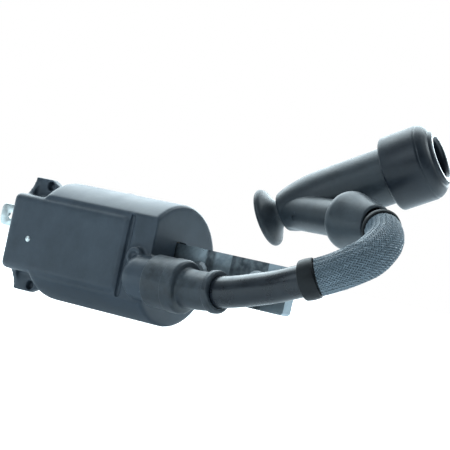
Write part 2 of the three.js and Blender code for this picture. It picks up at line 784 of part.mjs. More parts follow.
function skirt() {
  const overBarrel = barrelR + sealGap;
  const lip = skirtShoulder;
  const profile = [
    [overBarrel, skirtStart], [skirtR - 0.7, skirtStart], [skirtR, skirtStart + 0.7],
    [skirtR, lip - 0.5], [skirtR - 0.5, lip], [skirtR - 0.6, lip + 0.5], [skirtR - 1.6, lip + 1.4],
    [skirtR - 2.5, skirtEnd - 0.4], [skirtR - 3.1, skirtEnd], [skirtMouthR + 0.5, skirtEnd],
    [skirtMouthR, skirtEnd - 0.5],
    [skirtMouthR, lip], [skirtInnerR, lip - 0.8], [skirtInnerR, barrelEnd + sealGap],
    [overBarrel, barrelEnd + sealGap], [overBarrel, skirtStart],
  ];
  return turned(profile, capCentre, barrelAxis, 30);
}

function cableScrew() {
  const threadStart = 19.5;
  const threadPitch = 0.9;
  const profile = [[0, screwStart], [screwR, screwStart], [screwR, threadStart]];
  for (let at = threadStart; at < screwEnd - 1.2; at += threadPitch) {
    profile.push([screwR - screwThread, at + 0.2]);
    profile.push([screwR, at + threadPitch / 2]);
    profile.push([screwR - screwThread, at + threadPitch - 0.2]);
  }
  profile.push([0.3, screwEnd], [0, screwEnd]);
  return turned(profile, capCentre, entryAxis, 12);
}

class Helix extends THREE.Curve {
  constructor(base, axis, radius, from, to, turns) {
    super();
    Object.assign(this, { base, axis, radius, start: from, end: to, turns });
    this.side = new THREE.Vector3(0, 0, 1).cross(axis).normalize();
    this.up = axis.clone().cross(this.side);
  }

  getPoint(t, target = new THREE.Vector3()) {
    const angle = t * this.turns * Math.PI * 2;
    return target.copy(this.base)
      .addScaledVector(this.axis, this.start + (this.end - this.start) * t)
      .addScaledVector(this.side, this.radius * Math.cos(angle))
      .addScaledVector(this.up, this.radius * Math.sin(angle));
  }
}

const discStart = resistorBoreStart + 0.5;
const discEnd = discStart + 0.8;
const springStart = discEnd + pieceGap + springWire;
const springEnd = springStart + 3.8;
const resistorStart = springEnd + pieceGap + springWire;
const resistorEnd = socketBoreStart - 0.9;

function contactSpring() {
  const helix = new Helix(capCentre, barrelAxis, springR, springStart, springEnd, springTurns);
  return cordAlong(helix, springWire, 0, 5, springTurns * 12);
}

function resistorBody() {
  const from = resistorStart + resistorCapLength + pieceGap;
  return rod(resistorR, from, resistorEnd - resistorCapLength - pieceGap, capCentre, barrelAxis, 20);
}

function plugSocket() {
  const from = socketBoreStart + pieceGap;
  const to = barrelEnd - 1.6;
  const floor = 1;
  const profile = [
    [0, resistorEnd + pieceGap], [1.3, resistorEnd + pieceGap], [1.3, from], [socketR, from],
    [socketR, to - 0.4], [socketR - 0.2, to], [socketInnerR, to], [socketInnerR, from + floor],
    [0, from + floor],
  ];
  return turned(profile, capCentre, barrelAxis, 22);
}

function retainingClip() {
  const geometry = new THREE.TorusGeometry(clipR, clipWire, 5, 22);
  geometry.rotateX(Math.PI / 2);
  return aim(geometry, barrelAt(barrelEnd - 4), barrelAxis);
}

// ---- assembly -------------------------------------------------------------------------
addPart('coil_housing', housing(), 'housing');
addPart('potting_resin', resin(), 'resin');
for (let i = 0; i < plateCount; i += 1) addPart(`core_lamination_${i + 1}`, lamination(i), 'core');
addPart('core_rivet_inner', rivet(innerRivetX), 'rivet');
addPart('core_rivet_outer', rivet(outerRivetX), 'rivet');
addPart('primary_bobbin', primaryBobbin(), 'bobbin');
addPart('primary_winding', primaryWinding(), 'copper');
addPart('secondary_bobbin', secondaryBobbin(), 'bobbin');
for (let i = 0; i < sectionCount; i += 1) {
  addPart(`secondary_winding_${i + 1}`, secondarySection(i), 'copper');
}
addPart('primary_terminal', blade(), 'terminal');
addPart('primary_feed_wire', feedWire(), 'copper');
addPart('primary_ground_wire', groundWire(), 'copper');
addPart('secondary_output_wire', outputWire(), 'copper');
addPart('tower_pin', towerPin(), 'brass');
addPart('tower_boot', towerBoot(), 'rubber');
addPart('ht_lead', leadPiece(0, routeLength, leadR, leadBoreR, leadSteps), 'lead');
addPart('ht_conductor', leadPiece(3.2, routeLength - 3, conductorR, 0, leadSteps, 8), 'copper');
addPart('sleeve_band_coil', leadPiece(sleeveFrom - bandLength - pieceGap, sleeveFrom - pieceGap,
  bandR, leadR + leadGap, 3), 'band');
addPart('braided_sleeve', leadPiece(sleeveFrom, sleeveTo, sleeveR, sleeveR - sleeveWall, 16), 'sleeve');
addPart('sleeve_band_cap', leadPiece(sleeveTo + pieceGap, sleeveTo + pieceGap + capBandLength,
  bandR, leadR + leadGap, 2), 'band');
addPart('cap_body', capBody(), 'cap');
addPart('cap_entry_seal', entrySeal(), 'rubber');
addPart('cap_pull_knob', pullKnob(), 'rubber');
addPart('cap_skirt', skirt(), 'rubber');
addPart('cap_cable_screw', cableScrew(), 'brass');
addPart('cap_contact_disc', rod(discR, discStart, discEnd, capCentre, barrelAxis, 20), 'brass');
addPart('cap_contact_spring', contactSpring(), 'steel');
addPart('resistor_cap_inner', rod(resistorCapR, resistorStart, resistorStart + resistorCapLength,
  capCentre, barrelAxis, 20), 'brass');
addPart('resistor_body', resistorBody(), 'ceramic');
addPart('resistor_cap_outer', rod(resistorCapR, resistorEnd - resistorCapLength, resistorEnd,
  capCentre, barrelAxis, 20), 'brass');
addPart('plug_socket', plugSocket(), 'brass');
addPart('plug_retaining_clip', retainingClip(), 'steel');

export default group;
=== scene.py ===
import math
import random

import bmesh
import bpy
from mathutils import Matrix, Vector, noise


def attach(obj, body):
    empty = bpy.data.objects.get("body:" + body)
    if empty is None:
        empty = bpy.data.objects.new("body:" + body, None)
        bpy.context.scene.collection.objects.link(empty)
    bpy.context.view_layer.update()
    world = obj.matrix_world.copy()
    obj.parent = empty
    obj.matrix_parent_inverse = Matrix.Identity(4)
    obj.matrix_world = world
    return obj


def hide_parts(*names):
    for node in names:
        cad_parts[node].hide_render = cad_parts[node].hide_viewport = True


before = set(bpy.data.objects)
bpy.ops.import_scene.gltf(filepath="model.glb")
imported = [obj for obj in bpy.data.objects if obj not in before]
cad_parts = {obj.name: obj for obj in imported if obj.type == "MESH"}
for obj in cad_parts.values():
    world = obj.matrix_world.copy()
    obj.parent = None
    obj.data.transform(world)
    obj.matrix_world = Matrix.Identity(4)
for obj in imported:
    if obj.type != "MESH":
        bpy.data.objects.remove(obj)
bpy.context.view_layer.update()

mm = 0.001
fullTurn = math.tau
scene = bpy.context.scene


def tell(stage):
    print("ignition coil:", stage)


# camera
cameraSetup = {
    "place": (0.2257, -0.3286, 0.0049),
    "right": (0.7913, 0.5724, 0.2152),
    "up": (-0.1645, -0.1398, 0.9764),
    "lens": 144,
    "sensor": 36,
}


def makeCamera():
    data = bpy.data.cameras.new("camera")
    data.lens = cameraSetup["lens"]
    data.sensor_width = cameraSetup["sensor"]
    data.clip_start = 0.01
    camera = bpy.data.objects.new("camera", data)
    scene.collection.objects.link(camera)
    right = Vector(cameraSetup["right"]).normalized()
    back = right.cross(Vector(cameraSetup["up"])).normalized()
    up = back.cross(right)
    turn = Matrix((right, up, back)).transposed().to_4x4()
    camera.matrix_world = Matrix.Translation(cameraSetup["place"]) @ turn
    scene.camera = camera


makeCamera()
tell("camera")


# shared places, in millimetres, as in the frame
coilAxisY = -1.5
endFaceX = -23.6
mouthX = -67.4
towerY = -11.5
towerZ = -3.9
capCentre = Vector((-10.7, 19.4, 18.4))
entryReach = 33  # cap centre to the mouth of its seal
socketFloor = 21.6  # cap centre to the floor of the lead's socket
capBandSetback = 3.8  # from the seal to the end of the sleeve


def heading(azimuth, elevation):
    a = math.radians(azimuth)
    e = math.radians(elevation)
    return Vector((math.cos(e) * math.cos(a), math.cos(e) * math.sin(a), math.sin(e)))


entryAxis = heading(-20, 0)
barrelAxis = heading(13.5, 29.5)
xAxis = Vector((1, 0, 0))
yAxis = Vector((0, 1, 0))


def entryAt(reach):
    return capCentre + entryAxis * reach


# lead route
lead = {
    "start": (-18.7, towerY, towerZ),
    "points": [
        (-13, -11.5, -3.9), (-8, -11.6, -3.8), (-3, -11.9, -3.2), (2, -12.3, -2.2),
        (7, -12.5, -0.8), (11.5, -12.4, 0.6), (16, -11.9, 2.5), (20.1, -10.8, 4.4),
        (23.4, -9.1, 6.4), (26.1, -6.9, 8.7), (27.6, -4.1, 10.9), (27.8, -1.2, 13.2),
        (26.9, 1.8, 15.2), (24.3, 5.1, 17.1),
    ],
    "mouths": (entryReach, 29, 21.9),  # where it goes into the cap, out along the entry
    "radius": 3.5,
    "sleeveFrom": 41,
    "bandLength": 3.2,
    "capBandLength": 1.6,
    "bandRadius": 4.5,
    "gap": 0.3,
    "skinGap": 0.03,
}


def routePoints():
    points = [Vector(lead["start"])] + [Vector(p) for p in lead["points"]]
    points += [entryAt(reach) for reach in lead["mouths"]]
    first = points[0] * 2 - points[1]
    last = points[-1] * 2 - points[-2]
    return [first] + points + [last]


def betweenPoints(p0, p1, p2, p3, t):
    # one smooth stretch that passes through p1 and p2
    d0 = math.sqrt((p0 - p1).length)
    d1 = math.sqrt((p1 - p2).length)
    d2 = math.sqrt((p2 - p3).length)
    leave = ((p1 - p0) / d0 - (p2 - p0) / (d0 + d1) + (p2 - p1) / d1) * d1
    arrive = ((p2 - p1) / d1 - (p3 - p1) / (d1 + d2) + (p3 - p2) / d2) * d1
    square = (p2 - p1) * 3 - leave * 2 - arrive
    cube = (p1 - p2) * 2 + leave + arrive
    return p1 + leave * t + square * t * t + cube * t * t * t


class LeadRoute:
    def __init__(self):
        knots = routePoints()
        self.points = []
        for i in range(1, len(knots) - 2):
            for step in range(24):
                self.points.append(betweenPoints(*knots[i - 1:i + 3], step / 24))
        self.points.append(knots[-2])
        self.reach = [0]
        for a, b in zip(self.points, self.points[1:]):
            self.reach.append(self.reach[-1] + (b - a).length)
        self.length = self.reach[-1]
        self.frames = []
        across = Vector((0, 1, 0))
        for i in range(len(self.points)):
            low = self.points[max(i - 1, 0)]
            high = self.points[min(i + 1, len(self.points) - 1)]
            ahead = (high - low).normalized()
            across = (across - ahead * across.dot(ahead)).normalized()
            self.frames.append((ahead, across.copy(), ahead.cross(across)))

    def at(self, distance):
        # point, direction, and the two directions across, at a distance along the lead
        distance = min(max(distance, 0), self.length)
        low, high = 0, len(self.reach) - 1
        while high - low > 1:
            middle = (low + high) // 2
            if self.reach[middle] <= distance:
                low = middle
            else:
                high = middle
        span = self.reach[high] - self.reach[low]
        t = (distance - self.reach[low]) / span
        point = self.points[low].lerp(self.points[high], t)
        axes = [a.lerp(b, t).normalized() for a, b in zip(self.frames[low], self.frames[high])]
        return point, axes[0], axes[1], axes[2]


route = LeadRoute()
sleeveFrom = lead["sleeveFrom"]
sleeveTo = route.length - (entryReach - socketFloor) - capBandSetback


# shader node groups
def newGroup(name, inputs, outputs):
    tree = bpy.data.node_groups.new(name, "ShaderNodeTree")
    for label, kind, value in inputs:
        socket = tree.interface.new_socket(label, in_out="INPUT", socket_type=kind)
        socket.default_value = value
    for label, kind in outputs:
        tree.interface.new_socket(label, in_out="OUTPUT", socket_type=kind)
    return tree, tree.nodes.new("NodeGroupInput"), tree.nodes.new("NodeGroupOutput")


def put(tree, kind, values=None, **settings):
    node = tree.nodes.new(kind)
    for key, value in settings.items():
        setattr(node, key, value)
    for key, value in (values or {}).items():
        if isinstance(value, bpy.types.NodeSocket):
            tree.links.new(value, node.inputs[key])
        else:
            node.inputs[key].default_value = value
    return node


def feed(tree, node, **sources):
    for key, source in sources.items():
        tree.links.new(source, node.inputs[key.replace("_", " ")])


def objectPlace(tree):
    return put(tree, "ShaderNodeTexCoord").outputs["Object"]


def sums(tree, how, a, b=0.0, c=0.0):
    return put(tree, "ShaderNodeMath", {0: a, 1: b, 2: c}, operation=how).outputs[0]


def spread(tree, value, low, high, toLow=0.0, toHigh=1.0):
    values = {"Value": value, "From Min": low, "From Max": high, "To Min": toLow, "To Max": toHigh}
    return put(tree, "ShaderNodeMapRange", values).outputs["Result"]


def makeGrain():
    # fine moulded grain with slow cloudy change over it
    tree, given, made = newGroup(
        "mouldGrain",
        [("Scale", "NodeSocketFloat", 3000), ("Cloud Scale", "NodeSocketFloat", 90)],
        [("Height", "NodeSocketFloat"), ("Cloud", "NodeSocketFloat")],
    )
    where = objectPlace(tree)
    fine = put(tree, "ShaderNodeTexNoise",
               {"Vector": where, "Scale": given.outputs["Scale"], "Detail": 4, "Roughness": 0.6})
    pits = put(tree, "ShaderNodeTexVoronoi",
               {"Vector": where, "Scale": sums(tree, "MULTIPLY", given.outputs["Scale"], 0.55)},
               feature="SMOOTH_F1")
    height = sums(tree, "MULTIPLY_ADD", pits.outputs["Distance"], 0.5, fine.outputs["Fac"])
    cloud = put(tree, "ShaderNodeTexNoise",
                {"Vector": where, "Scale": given.outputs["Cloud Scale"], "Detail": 5, "Roughness": 0.62})
    feed(tree, made, Height=height, Cloud=spread(tree, cloud.outputs["Fac"], 0.32, 0.68))
    return tree


def makeWear():
    # outer edges rubbed lighter, broken up by noise
    tree, given, made = newGroup(
        "edgeWear",
        [("Amount", "NodeSocketFloat", 0.5), ("Break Scale", "NodeSocketFloat", 700)],
        [("Mask", "NodeSocketFloat")],
    )
    bend = put(tree, "ShaderNodeNewGeometry").outputs["Pointiness"]
    where = objectPlace(tree)
    breaks = put(tree, "ShaderNodeTexNoise",
                 {"Vector": where, "Scale": given.outputs["Break Scale"], "Detail": 5})
    edge = spread(tree, bend, 0.51, 0.6)
    patchy = spread(tree, breaks.outputs["Fac"], 0.38, 0.7)
    mask = sums(tree, "MULTIPLY", sums(tree, "MULTIPLY", edge, patchy), given.outputs["Amount"])
    feed(tree, made, Mask=mask)
    return tree


def makeDust():
    # pale specks, and a thin film where a surface faces up
    tree, given, made = newGroup(
        "dust",
        [("Speck Scale", "NodeSocketFloat", 420), ("Specks", "NodeSocketFloat", 0.1),
         ("Film", "NodeSocketFloat", 0.3)],
        [("Mask", "NodeSocketFloat")],
    )
    where = objectPlace(tree)
    dots = put(tree, "ShaderNodeTexVoronoi",
               {"Vector": where, "Scale": given.outputs["Speck Scale"]}, feature="F1")
    near = spread(tree, dots.outputs["Distance"], 0.04, 0.1, 1, 0)
    chosen = put(tree, "ShaderNodeSeparateColor", {"Color": dots.outputs["Color"]}).outputs[0]
    few = sums(tree, "LESS_THAN", chosen, given.outputs["Specks"])
    film = put(tree, "ShaderNodeTexNoise", {"Vector": where, "Scale": 260, "Detail": 8, "Roughness": 0.7})
    normal = put(tree, "ShaderNodeNewGeometry").outputs["Normal"]
    up = put(tree, "ShaderNodeSeparateXYZ", {"Vector": normal}).outputs["Z"]
    lying = sums(tree, "MULTIPLY", spread(tree, up, -0.2, 1), spread(tree, film.outputs["Fac"], 0.4, 0.75))
    lying = sums(tree, "MULTIPLY", lying, given.outputs["Film"])
    mask = sums(tree, "MAXIMUM", sums(tree, "MULTIPLY", near, few), lying)
    feed(tree, made, Mask=mask)
    return tree


def makeLines():
    # drawn or brushed lines: noise stretched by a vector
    tree, given, made = newGroup(
        "drawnLines",
        [("Stretch", "NodeSocketVector", (1, 1, 1)), ("Turn", "NodeSocketVector", (0, 0, 0))],
        [("Height", "NodeSocketFloat"), ("Streak", "NodeSocketFloat")],
    )
    where = objectPlace(tree)
    turned = put(tree, "ShaderNodeVectorRotate",
                 {"Vector": where, "Rotation": given.outputs["Turn"]}, rotation_type="EULER_XYZ")
    pulled = put(tree, "ShaderNodeVectorMath",
                 {0: turned.outputs["Vector"], 1: given.outputs["Stretch"]}, operation="MULTIPLY")
    fine = put(tree, "ShaderNodeTexNoise",
               {"Vector": pulled.outputs["Vector"], "Scale": 1, "Detail": 6, "Roughness": 0.7})
    broad = put(tree, "ShaderNodeTexNoise",
                {"Vector": pulled.outputs["Vector"], "Scale": 0.2, "Detail": 3})
    feed(tree, made, Height=fine.outputs["Fac"], Streak=spread(tree, broad.outputs["Fac"], 0.35, 0.65))
    return tree


groups = {"grain": makeGrain(), "wear": makeWear(), "dust": makeDust(), "lines": makeLines()}


def useGroup(tree, name, **values):
    node = tree.nodes.new("ShaderNodeGroup")
    node.node_tree = groups[name]
    for key, value in values.items():
        node.inputs[key.replace("_", " ")].default_value = value
    return node


def blendColours(tree, mask, a, b):
    node = put(tree, "ShaderNodeMix", data_type="RGBA")
    for key, value in ((0, mask), (6, a), (7, b)):
        if isinstance(value, bpy.types.NodeSocket):
            tree.links.new(value, node.inputs[key])
        else:
            node.inputs[key].default_value = value if key == 0 else (*value, 1)
    return node.outputs[2]


def newMaterial(name):
    material = bpy.data.materials.new(name)
    material.use_nodes = True
    tree = material.node_tree
    shader = tree.nodes["Principled BSDF"]
    return material, tree, shader


def joinBump(tree, shader, height, depth):
    bump = put(tree, "ShaderNodeBump", {"Height": height, "Distance": depth * mm, "Strength": 1})
    feed(tree, shader, Normal=bump.outputs["Normal"])


# moulded plastics and rubbers
mouldedLooks = {
    "housingMoulding": {"dark": (0.025, 0.036, 0.049), "pale": (0.044, 0.06, 0.079), "rough": (0.36, 0.48),
        "grain": 4200, "depth": 0.012, "cloud": 120, "wear": 0.5, "specks": 0.03, "film": 0.1},
    "resinCast": {"dark": (0.01, 0.011, 0.013), "pale": (0.019, 0.02, 0.023), "rough": (0.1, 0.24),
        "grain": 900, "depth": 0.02, "cloud": 160, "wear": 0.1, "specks": 0.05, "film": 0.1},
    "bootRubber": {"dark": (0.008, 0.012, 0.017), "pale": (0.026, 0.036, 0.046), "rough": (0.34, 0.52),
        "grain": 3200, "depth": 0.02, "cloud": 420, "wear": 0.5, "specks": 0.07, "film": 0.32, "shine": 0.6},
    "leadJacket": {"dark": (0.003, 0.005, 0.009), "pale": (0.008, 0.012, 0.018), "rough": (0.24, 0.34),
        "grain": 2600, "depth": 0.008, "cloud": 260, "wear": 0.0, "specks": 0.03, "film": 0.08, "shine": 0.5},
    "bandRubber": {"dark": (0.002, 0.003, 0.004), "pale": (0.004, 0.006, 0.008), "rough": (0.42, 0.56),
        "grain": 3600, "depth": 0.015, "cloud": 300, "wear": 0.0, "specks": 0.01, "film": 0.0, "shine": 0.3},
    "sleeveLining": {"dark": (0.05, 0.068, 0.082), "pale": (0.085, 0.11, 0.128), "rough": (0.6, 0.8),
        "grain": 3600, "depth": 0.02, "cloud": 500, "wear": 0.0, "specks": 0.0, "film": 0.0},
    "capMoulding": {"dark": (0.013, 0.019, 0.025), "pale": (0.025, 0.034, 0.042), "rough": (0.36, 0.48),
        "grain": 4200, "depth": 0.012, "cloud": 150, "wear": 0.4, "specks": 0.03, "film": 0.12},
    "sealRubber": {"dark": (0.026, 0.034, 0.042), "pale": (0.046, 0.058, 0.068), "rough": (0.36, 0.5),
        "grain": 3400, "depth": 0.014, "cloud": 220, "wear": 0.4, "specks": 0.02, "film": 0.12},
    "knobRubber": {"dark": (0.011, 0.015, 0.02), "pale": (0.024, 0.031, 0.038), "rough": (0.38, 0.52),
        "grain": 3400, "depth": 0.014, "cloud": 240, "wear": 0.4, "specks": 0.03, "film": 0.14},
    "skirtRubber": {"dark": (0.005, 0.008, 0.013), "pale": (0.011, 0.016, 0.023), "rough": (0.3, 0.44),
        "grain": 3400, "depth": 0.014, "cloud": 200, "wear": 0.4, "specks": 0.02, "film": 0.1, "shine": 0.4},
    "bobbinNylon": {"dark": (0.42, 0.38, 0.27), "pale": (0.6, 0.56, 0.43), "rough": (0.42, 0.56),
        "grain": 3000, "depth": 0.012, "cloud": 140, "wear": 0.2, "specks": 0.04, "film": 0.1},
    "ceramicBody": {"dark": (0.6, 0.56, 0.49), "pale": (0.74, 0.71, 0.65), "rough": (0.55, 0.72),
        "grain": 5200, "depth": 0.02, "cloud": 260, "wear": 0.1, "specks": 0.06, "film": 0.1},
}
dustColour = (0.30, 0.36, 0.40)


def mouldedFinish(name):
    look = mouldedLooks[name]
    material, tree, shader = newMaterial(name)
    grain = useGroup(tree, "grain", Scale=look["grain"], Cloud_Scale=look["cloud"])
    wear = useGroup(tree, "wear", Amount=look["wear"])
    dust = useGroup(tree, "dust", Specks=look["specks"], Film=look["film"])
    cloud = grain.outputs["Cloud"]
    rubbed = tuple(min(1, c * 2.2 + 0.02) for c in look["pale"])
    colour = blendColours(tree, cloud, look["dark"], look["pale"])
    colour = blendColours(tree, wear.outputs["Mask"], colour, rubbed)
    colour = blendColours(tree, dust.outputs["Mask"], colour, dustColour)
    rough = spread(tree, cloud, 0, 1, *look["rough"])
    rough = sums(tree, "MULTIPLY_ADD", dust.outputs["Mask"], 0.3, rough)
    feed(tree, shader, Base_Color=colour, Roughness=rough)
    shader.inputs["Specular IOR Level"].default_value = look.get("shine", 0.5)
    joinBump(tree, shader, grain.outputs["Height"], look["depth"])
    return material


# metals
metalLooks = {
    "rivetSteel": {"dark": (0.30, 0.33, 0.35), "pale": (0.52, 0.55, 0.57), "rough": (0.26, 0.42),
                   "stretch": (2500, 600, 2500), "depth": 0.004},
    "terminalTin": {"dark": (0.55, 0.62, 0.62), "pale": (0.80, 0.85, 0.84), "rough": (0.28, 0.42),
                    "stretch": (300, 2500, 4200), "depth": 0.004},
    "brassTurned": {"dark": (0.44, 0.29, 0.09), "pale": (0.68, 0.49, 0.19), "rough": (0.20, 0.34),
                    "stretch": (3200, 900, 900), "turn": (0, 0.5, 0.2), "depth": 0.004},
    "springSteel": {"dark": (0.34, 0.35, 0.36), "pale": (0.56, 0.57, 0.58), "rough": (0.18, 0.30),
                    "stretch": (1500, 1500, 4000), "depth": 0.002},
}


def metalFinish(name):
    look = metalLooks[name]
    material, tree, shader = newMaterial(name)
    shader.inputs["Metallic"].default_value = 1
    lines = useGroup(tree, "lines", Stretch=look["stretch"], Turn=look.get("turn", (0, 0, 0)))
    grain = useGroup(tree, "grain", Scale=2600, Cloud_Scale=300)
    wear = useGroup(tree, "wear", Amount=0.6)
    colour = blendColours(tree, lines.outputs["Streak"], look["dark"], look["pale"])
    dulled = tuple(c * 0.55 for c in look["dark"])
    colour = blendColours(tree, spread(tree, grain.outputs["Cloud"], 0.5, 1, 0, 0.5), colour, dulled)
    colour = blendColours(tree, wear.outputs["Mask"], colour, look["pale"])
    rough = spread(tree, grain.outputs["Cloud"], 0, 1, *look["rough"])
    feed(tree, shader, Base_Color=colour, Roughness=rough)
    joinBump(tree, shader, lines.outputs["Height"], look["depth"])
    return material


coreLook = {
    "bare": (0.23, 0.27, 0.30),
    "bright": (0.40, 0.46, 0.49),
    # painted reflection: the dark tone where the dark lead and boot reflect in the steel
    "reflectedDark": (0.022, 0.028, 0.034),
    # painted highlight: a lighter flat tone at the bar's end, standing in for a bend that catches more light
    "tipHighlight": (0.33, 0.385, 0.42),
    "stretch": (900, 900, 2600),
    "turn": (0, 0.7, 0),  # lines run slantwise across the bar
    # the two stretches of painted reflection, in mm along X
    "firstReflectedBand": (-14.8, -12.3),
    "secondReflectedBand": (-7.7, 2.4),
}


def bandMask(tree, along, low, high, soft):
    rise = spread(tree, along, (low - soft) * mm, (low + soft) * mm)
    fall = spread(tree, along, (high - soft) * mm, (high + soft) * mm, 1, 0)
    return sums(tree, "MULTIPLY", rise, fall)


def coreFinish():
    # brushed electrical steel; two dark stretches along it are painted reflections of the dark lead and boot,
    # and the lighter end past them is a painted highlight
    material, tree, shader = newMaterial("coreSteel")
    where = objectPlace(tree)
    along = put(tree, "ShaderNodeSeparateXYZ", {"Vector": where}).outputs["X"]
    slant = useGroup(tree, "lines", Stretch=coreLook["stretch"], Turn=coreLook["turn"])
    upright = useGroup(tree, "lines", Stretch=(1300, 60, 90))
    grain = useGroup(tree, "grain", Scale=2400, Cloud_Scale=260)
    wear = useGroup(tree, "wear", Amount=0.5)
    steel = blendColours(tree, slant.outputs["Streak"], coreLook["bare"], coreLook["bright"])
    dull = spread(tree, grain.outputs["Cloud"], 0.35, 1, 0, 0.6)
    steel = blendColours(tree, dull, steel, tuple(c * 0.4 for c in coreLook["bare"]))
    # painted highlight on the bar's end past 2.4 mm
    tipHighlight = spread(tree, along, 2.3 * mm, 2.5 * mm)
    steel = blendColours(tree, tipHighlight, steel, coreLook["tipHighlight"])
    # painted reflections of the dark lead and boot, with faint upright stripes
    paintedReflection = sums(tree, "MAXIMUM", bandMask(tree, along, *coreLook["firstReflectedBand"], 0.35),
                 bandMask(tree, along, *coreLook["secondReflectedBand"], 0.12))
    thin = spread(tree, upright.outputs["Streak"], 0, 1, 0.72, 1)
    paintedReflection = sums(tree, "MULTIPLY", paintedReflection, thin)
    colour = blendColours(tree, paintedReflection, steel, coreLook["reflectedDark"])
    colour = blendColours(tree, wear.outputs["Mask"], colour, coreLook["bright"])
    rough = spread(tree, grain.outputs["Cloud"], 0, 1, 0.26, 0.44)
    # less metallic where the painted reflection lies
    metal = spread(tree, paintedReflection, 0, 1, 1, 0.35)
    feed(tree, shader, Base_Color=colour, Metallic=metal, Roughness=rough)
    height = sums(tree, "MULTIPLY_ADD", upright.outputs["Height"], 0.6, slant.outputs["Height"])
    joinBump(tree, shader, height, 0.012)
    return material


# wound copper
# dark is painted shade in the grooves between turns, pale the lit crowns
windingLook = {"dark": (0.30, 0.085, 0.022), "pale": (0.62, 0.25, 0.09), "turnsPerMetre": 3300, "depth": 0.05}


def windingFinish():
    material, tree, shader = newMaterial("copperWinding")
    shader.inputs["Metallic"].default_value = 1
    shader.inputs["Coat Weight"].default_value = 0.6
    shader.inputs["Coat Roughness"].default_value = 0.12
    where = objectPlace(tree)
    turns = put(tree, "ShaderNodeTexWave",
                {"Vector": where, "Scale": windingLook["turnsPerMetre"] / 6.2, "Distortion": 0.4,
                 "Detail": 2, "Detail Scale": 2}, bands_direction="X", wave_profile="SIN")
    grain = useGroup(tree, "grain", Scale=2200, Cloud_Scale=180)
    # painted shade: the wave darkens the copper in the grooves between turns and lightens it on their crowns
    colour = blendColours(tree, turns.outputs["Fac"], windingLook["dark"], windingLook["pale"])
    stained = tuple(c * 0.6 for c in windingLook["dark"])
    colour = blendColours(tree, spread(tree, grain.outputs["Cloud"], 0.4, 1, 0, 0.45), colour, stained)
    feed(tree, shader, Base_Color=colour, Roughness=spread(tree, grain.outputs["Cloud"], 0, 1, 0.2, 0.36))
    joinBump(tree, shader, turns.outputs["Fac"], windingLook["depth"])
    return material


# braid
# dark is painted shade between the yarns, and also the tone of the stains
braidLook = {"dark": (0.075, 0.103, 0.126), "pale": (0.23, 0.295, 0.340)}


def braidFinish():
    # varnished glass yarn: pale crowns, and painted shade darkening the yarn where it lies deeper between them
    material, tree, shader = newMaterial("braidYarn")
    shader.inputs["Sheen Weight"].default_value = 0.35
    shader.inputs["Sheen Roughness"].default_value = 0.4
    where = objectPlace(tree)
    strands = put(tree, "ShaderNodeTexNoise",
                  {"Vector": where, "Scale": 2600, "Detail": 5, "Roughness": 0.75})
    stains = put(tree, "ShaderNodeTexNoise", {"Vector": where, "Scale": 520, "Detail": 4, "Roughness": 0.6})
    crown = put(tree, "ShaderNodeAttribute", attribute_name="crown").outputs["Fac"]
    wet = spread(tree, stains.outputs["Fac"], 0.36, 0.66)
    # painted shade: darker where the yarn lies deeper, paler on the crowns
    mix = sums(tree, "MULTIPLY", crown, spread(tree, strands.outputs["Fac"], 0.3, 0.7, 0.35, 1))
    colour = blendColours(tree, mix, braidLook["dark"], braidLook["pale"])
    colour = blendColours(tree, sums(tree, "MULTIPLY", wet, 0.5), colour, braidLook["dark"])
    feed(tree, shader, Base_Color=colour, Roughness=spread(tree, wet, 0, 1, 0.62, 0.42))
    joinBump(tree, shader, strands.outputs["Fac"], 0.04)
    return material


materials = {name: mouldedFinish(name) for name in mouldedLooks}
materials.update({name: metalFinish(name) for name in metalLooks})
materials["coreSteel"] = coreFinish()
materials["copperWinding"] = windingFinish()
materials["braidYarn"] = braidFinish()
tell("materials")


# making tools
def axisPlace(start, axis):
    # local X runs along the axis
    along = axis.normalized()
    side = Vector((0, 0, 1)).cross(along).normalized()
    turn = Matrix((along, side, along.cross(side))).transposed().to_4x4()
    return Matrix.Translation(start * mm) @ turn


def spun(profile, steps=96):
    # profile of (along, radius, corner radius) in mm, turned about local X
    bm = bmesh.new()
    verts = [bm.verts.new((point[0] * mm, point[1] * mm, 0)) for point in profile]
    for a, b in zip(verts, verts[1:]):
        bm.edges.new((a, b))
    for vert, point in zip(verts, profile):
        if len(point) > 2:
            bmesh.ops.bevel(bm, geom=[vert], offset=point[2] * mm, offset_type="OFFSET", segments=4,
                            profile=0.5, affect="VERTICES", material=-1, clamp_overlap=True)
    bmesh.ops.spin(bm, geom=bm.verts[:] + bm.edges[:], cent=(0, 0, 0), axis=(1, 0, 0), angle=fullTurn,
                   steps=steps, use_merge=True)
    bmesh.ops.remove_doubles(bm, verts=bm.verts, dist=1e-7)
    bmesh.ops.recalc_face_normals(bm, faces=bm.faces)
    return bm


def turnedSolid(profile, steps, start, axis, name):
    bm = spun(profile, steps)
    bm.transform(axisPlace(start, axis))
    return objectFrom(bm, name)


def plainBore(start, length, radius, axis, steps=64):
    return turnedSolid([(0, 0), (0, radius), (length, radius), (length, 0)], steps, start, axis, "bore")


def cubeShape(low, high, edge=0.0, segments=3):
    bm = bmesh.new()
    bmesh.ops.create_cube(bm, size=1)
    low, high = Vector(low) * mm, Vector(high) * mm
    bmesh.ops.scale(bm, vec=high - low, verts=bm.verts)
    bmesh.ops.translate(bm, vec=(low + high) / 2, verts=bm.verts)
    if edge:
        bmesh.ops.bevel(bm, geom=bm.edges[:], offset=edge * mm, offset_type="OFFSET", segments=segments,
                        profile=0.5, affect="EDGES", material=-1, clamp_overlap=True)
    return bm


def objectFrom(bm, name):
    mesh = bpy.data.meshes.new(name)
    bm.to_mesh(mesh)
    bm.free()
    made = bpy.data.objects.new(name, mesh)
    scene.collection.objects.link(made)
    return made


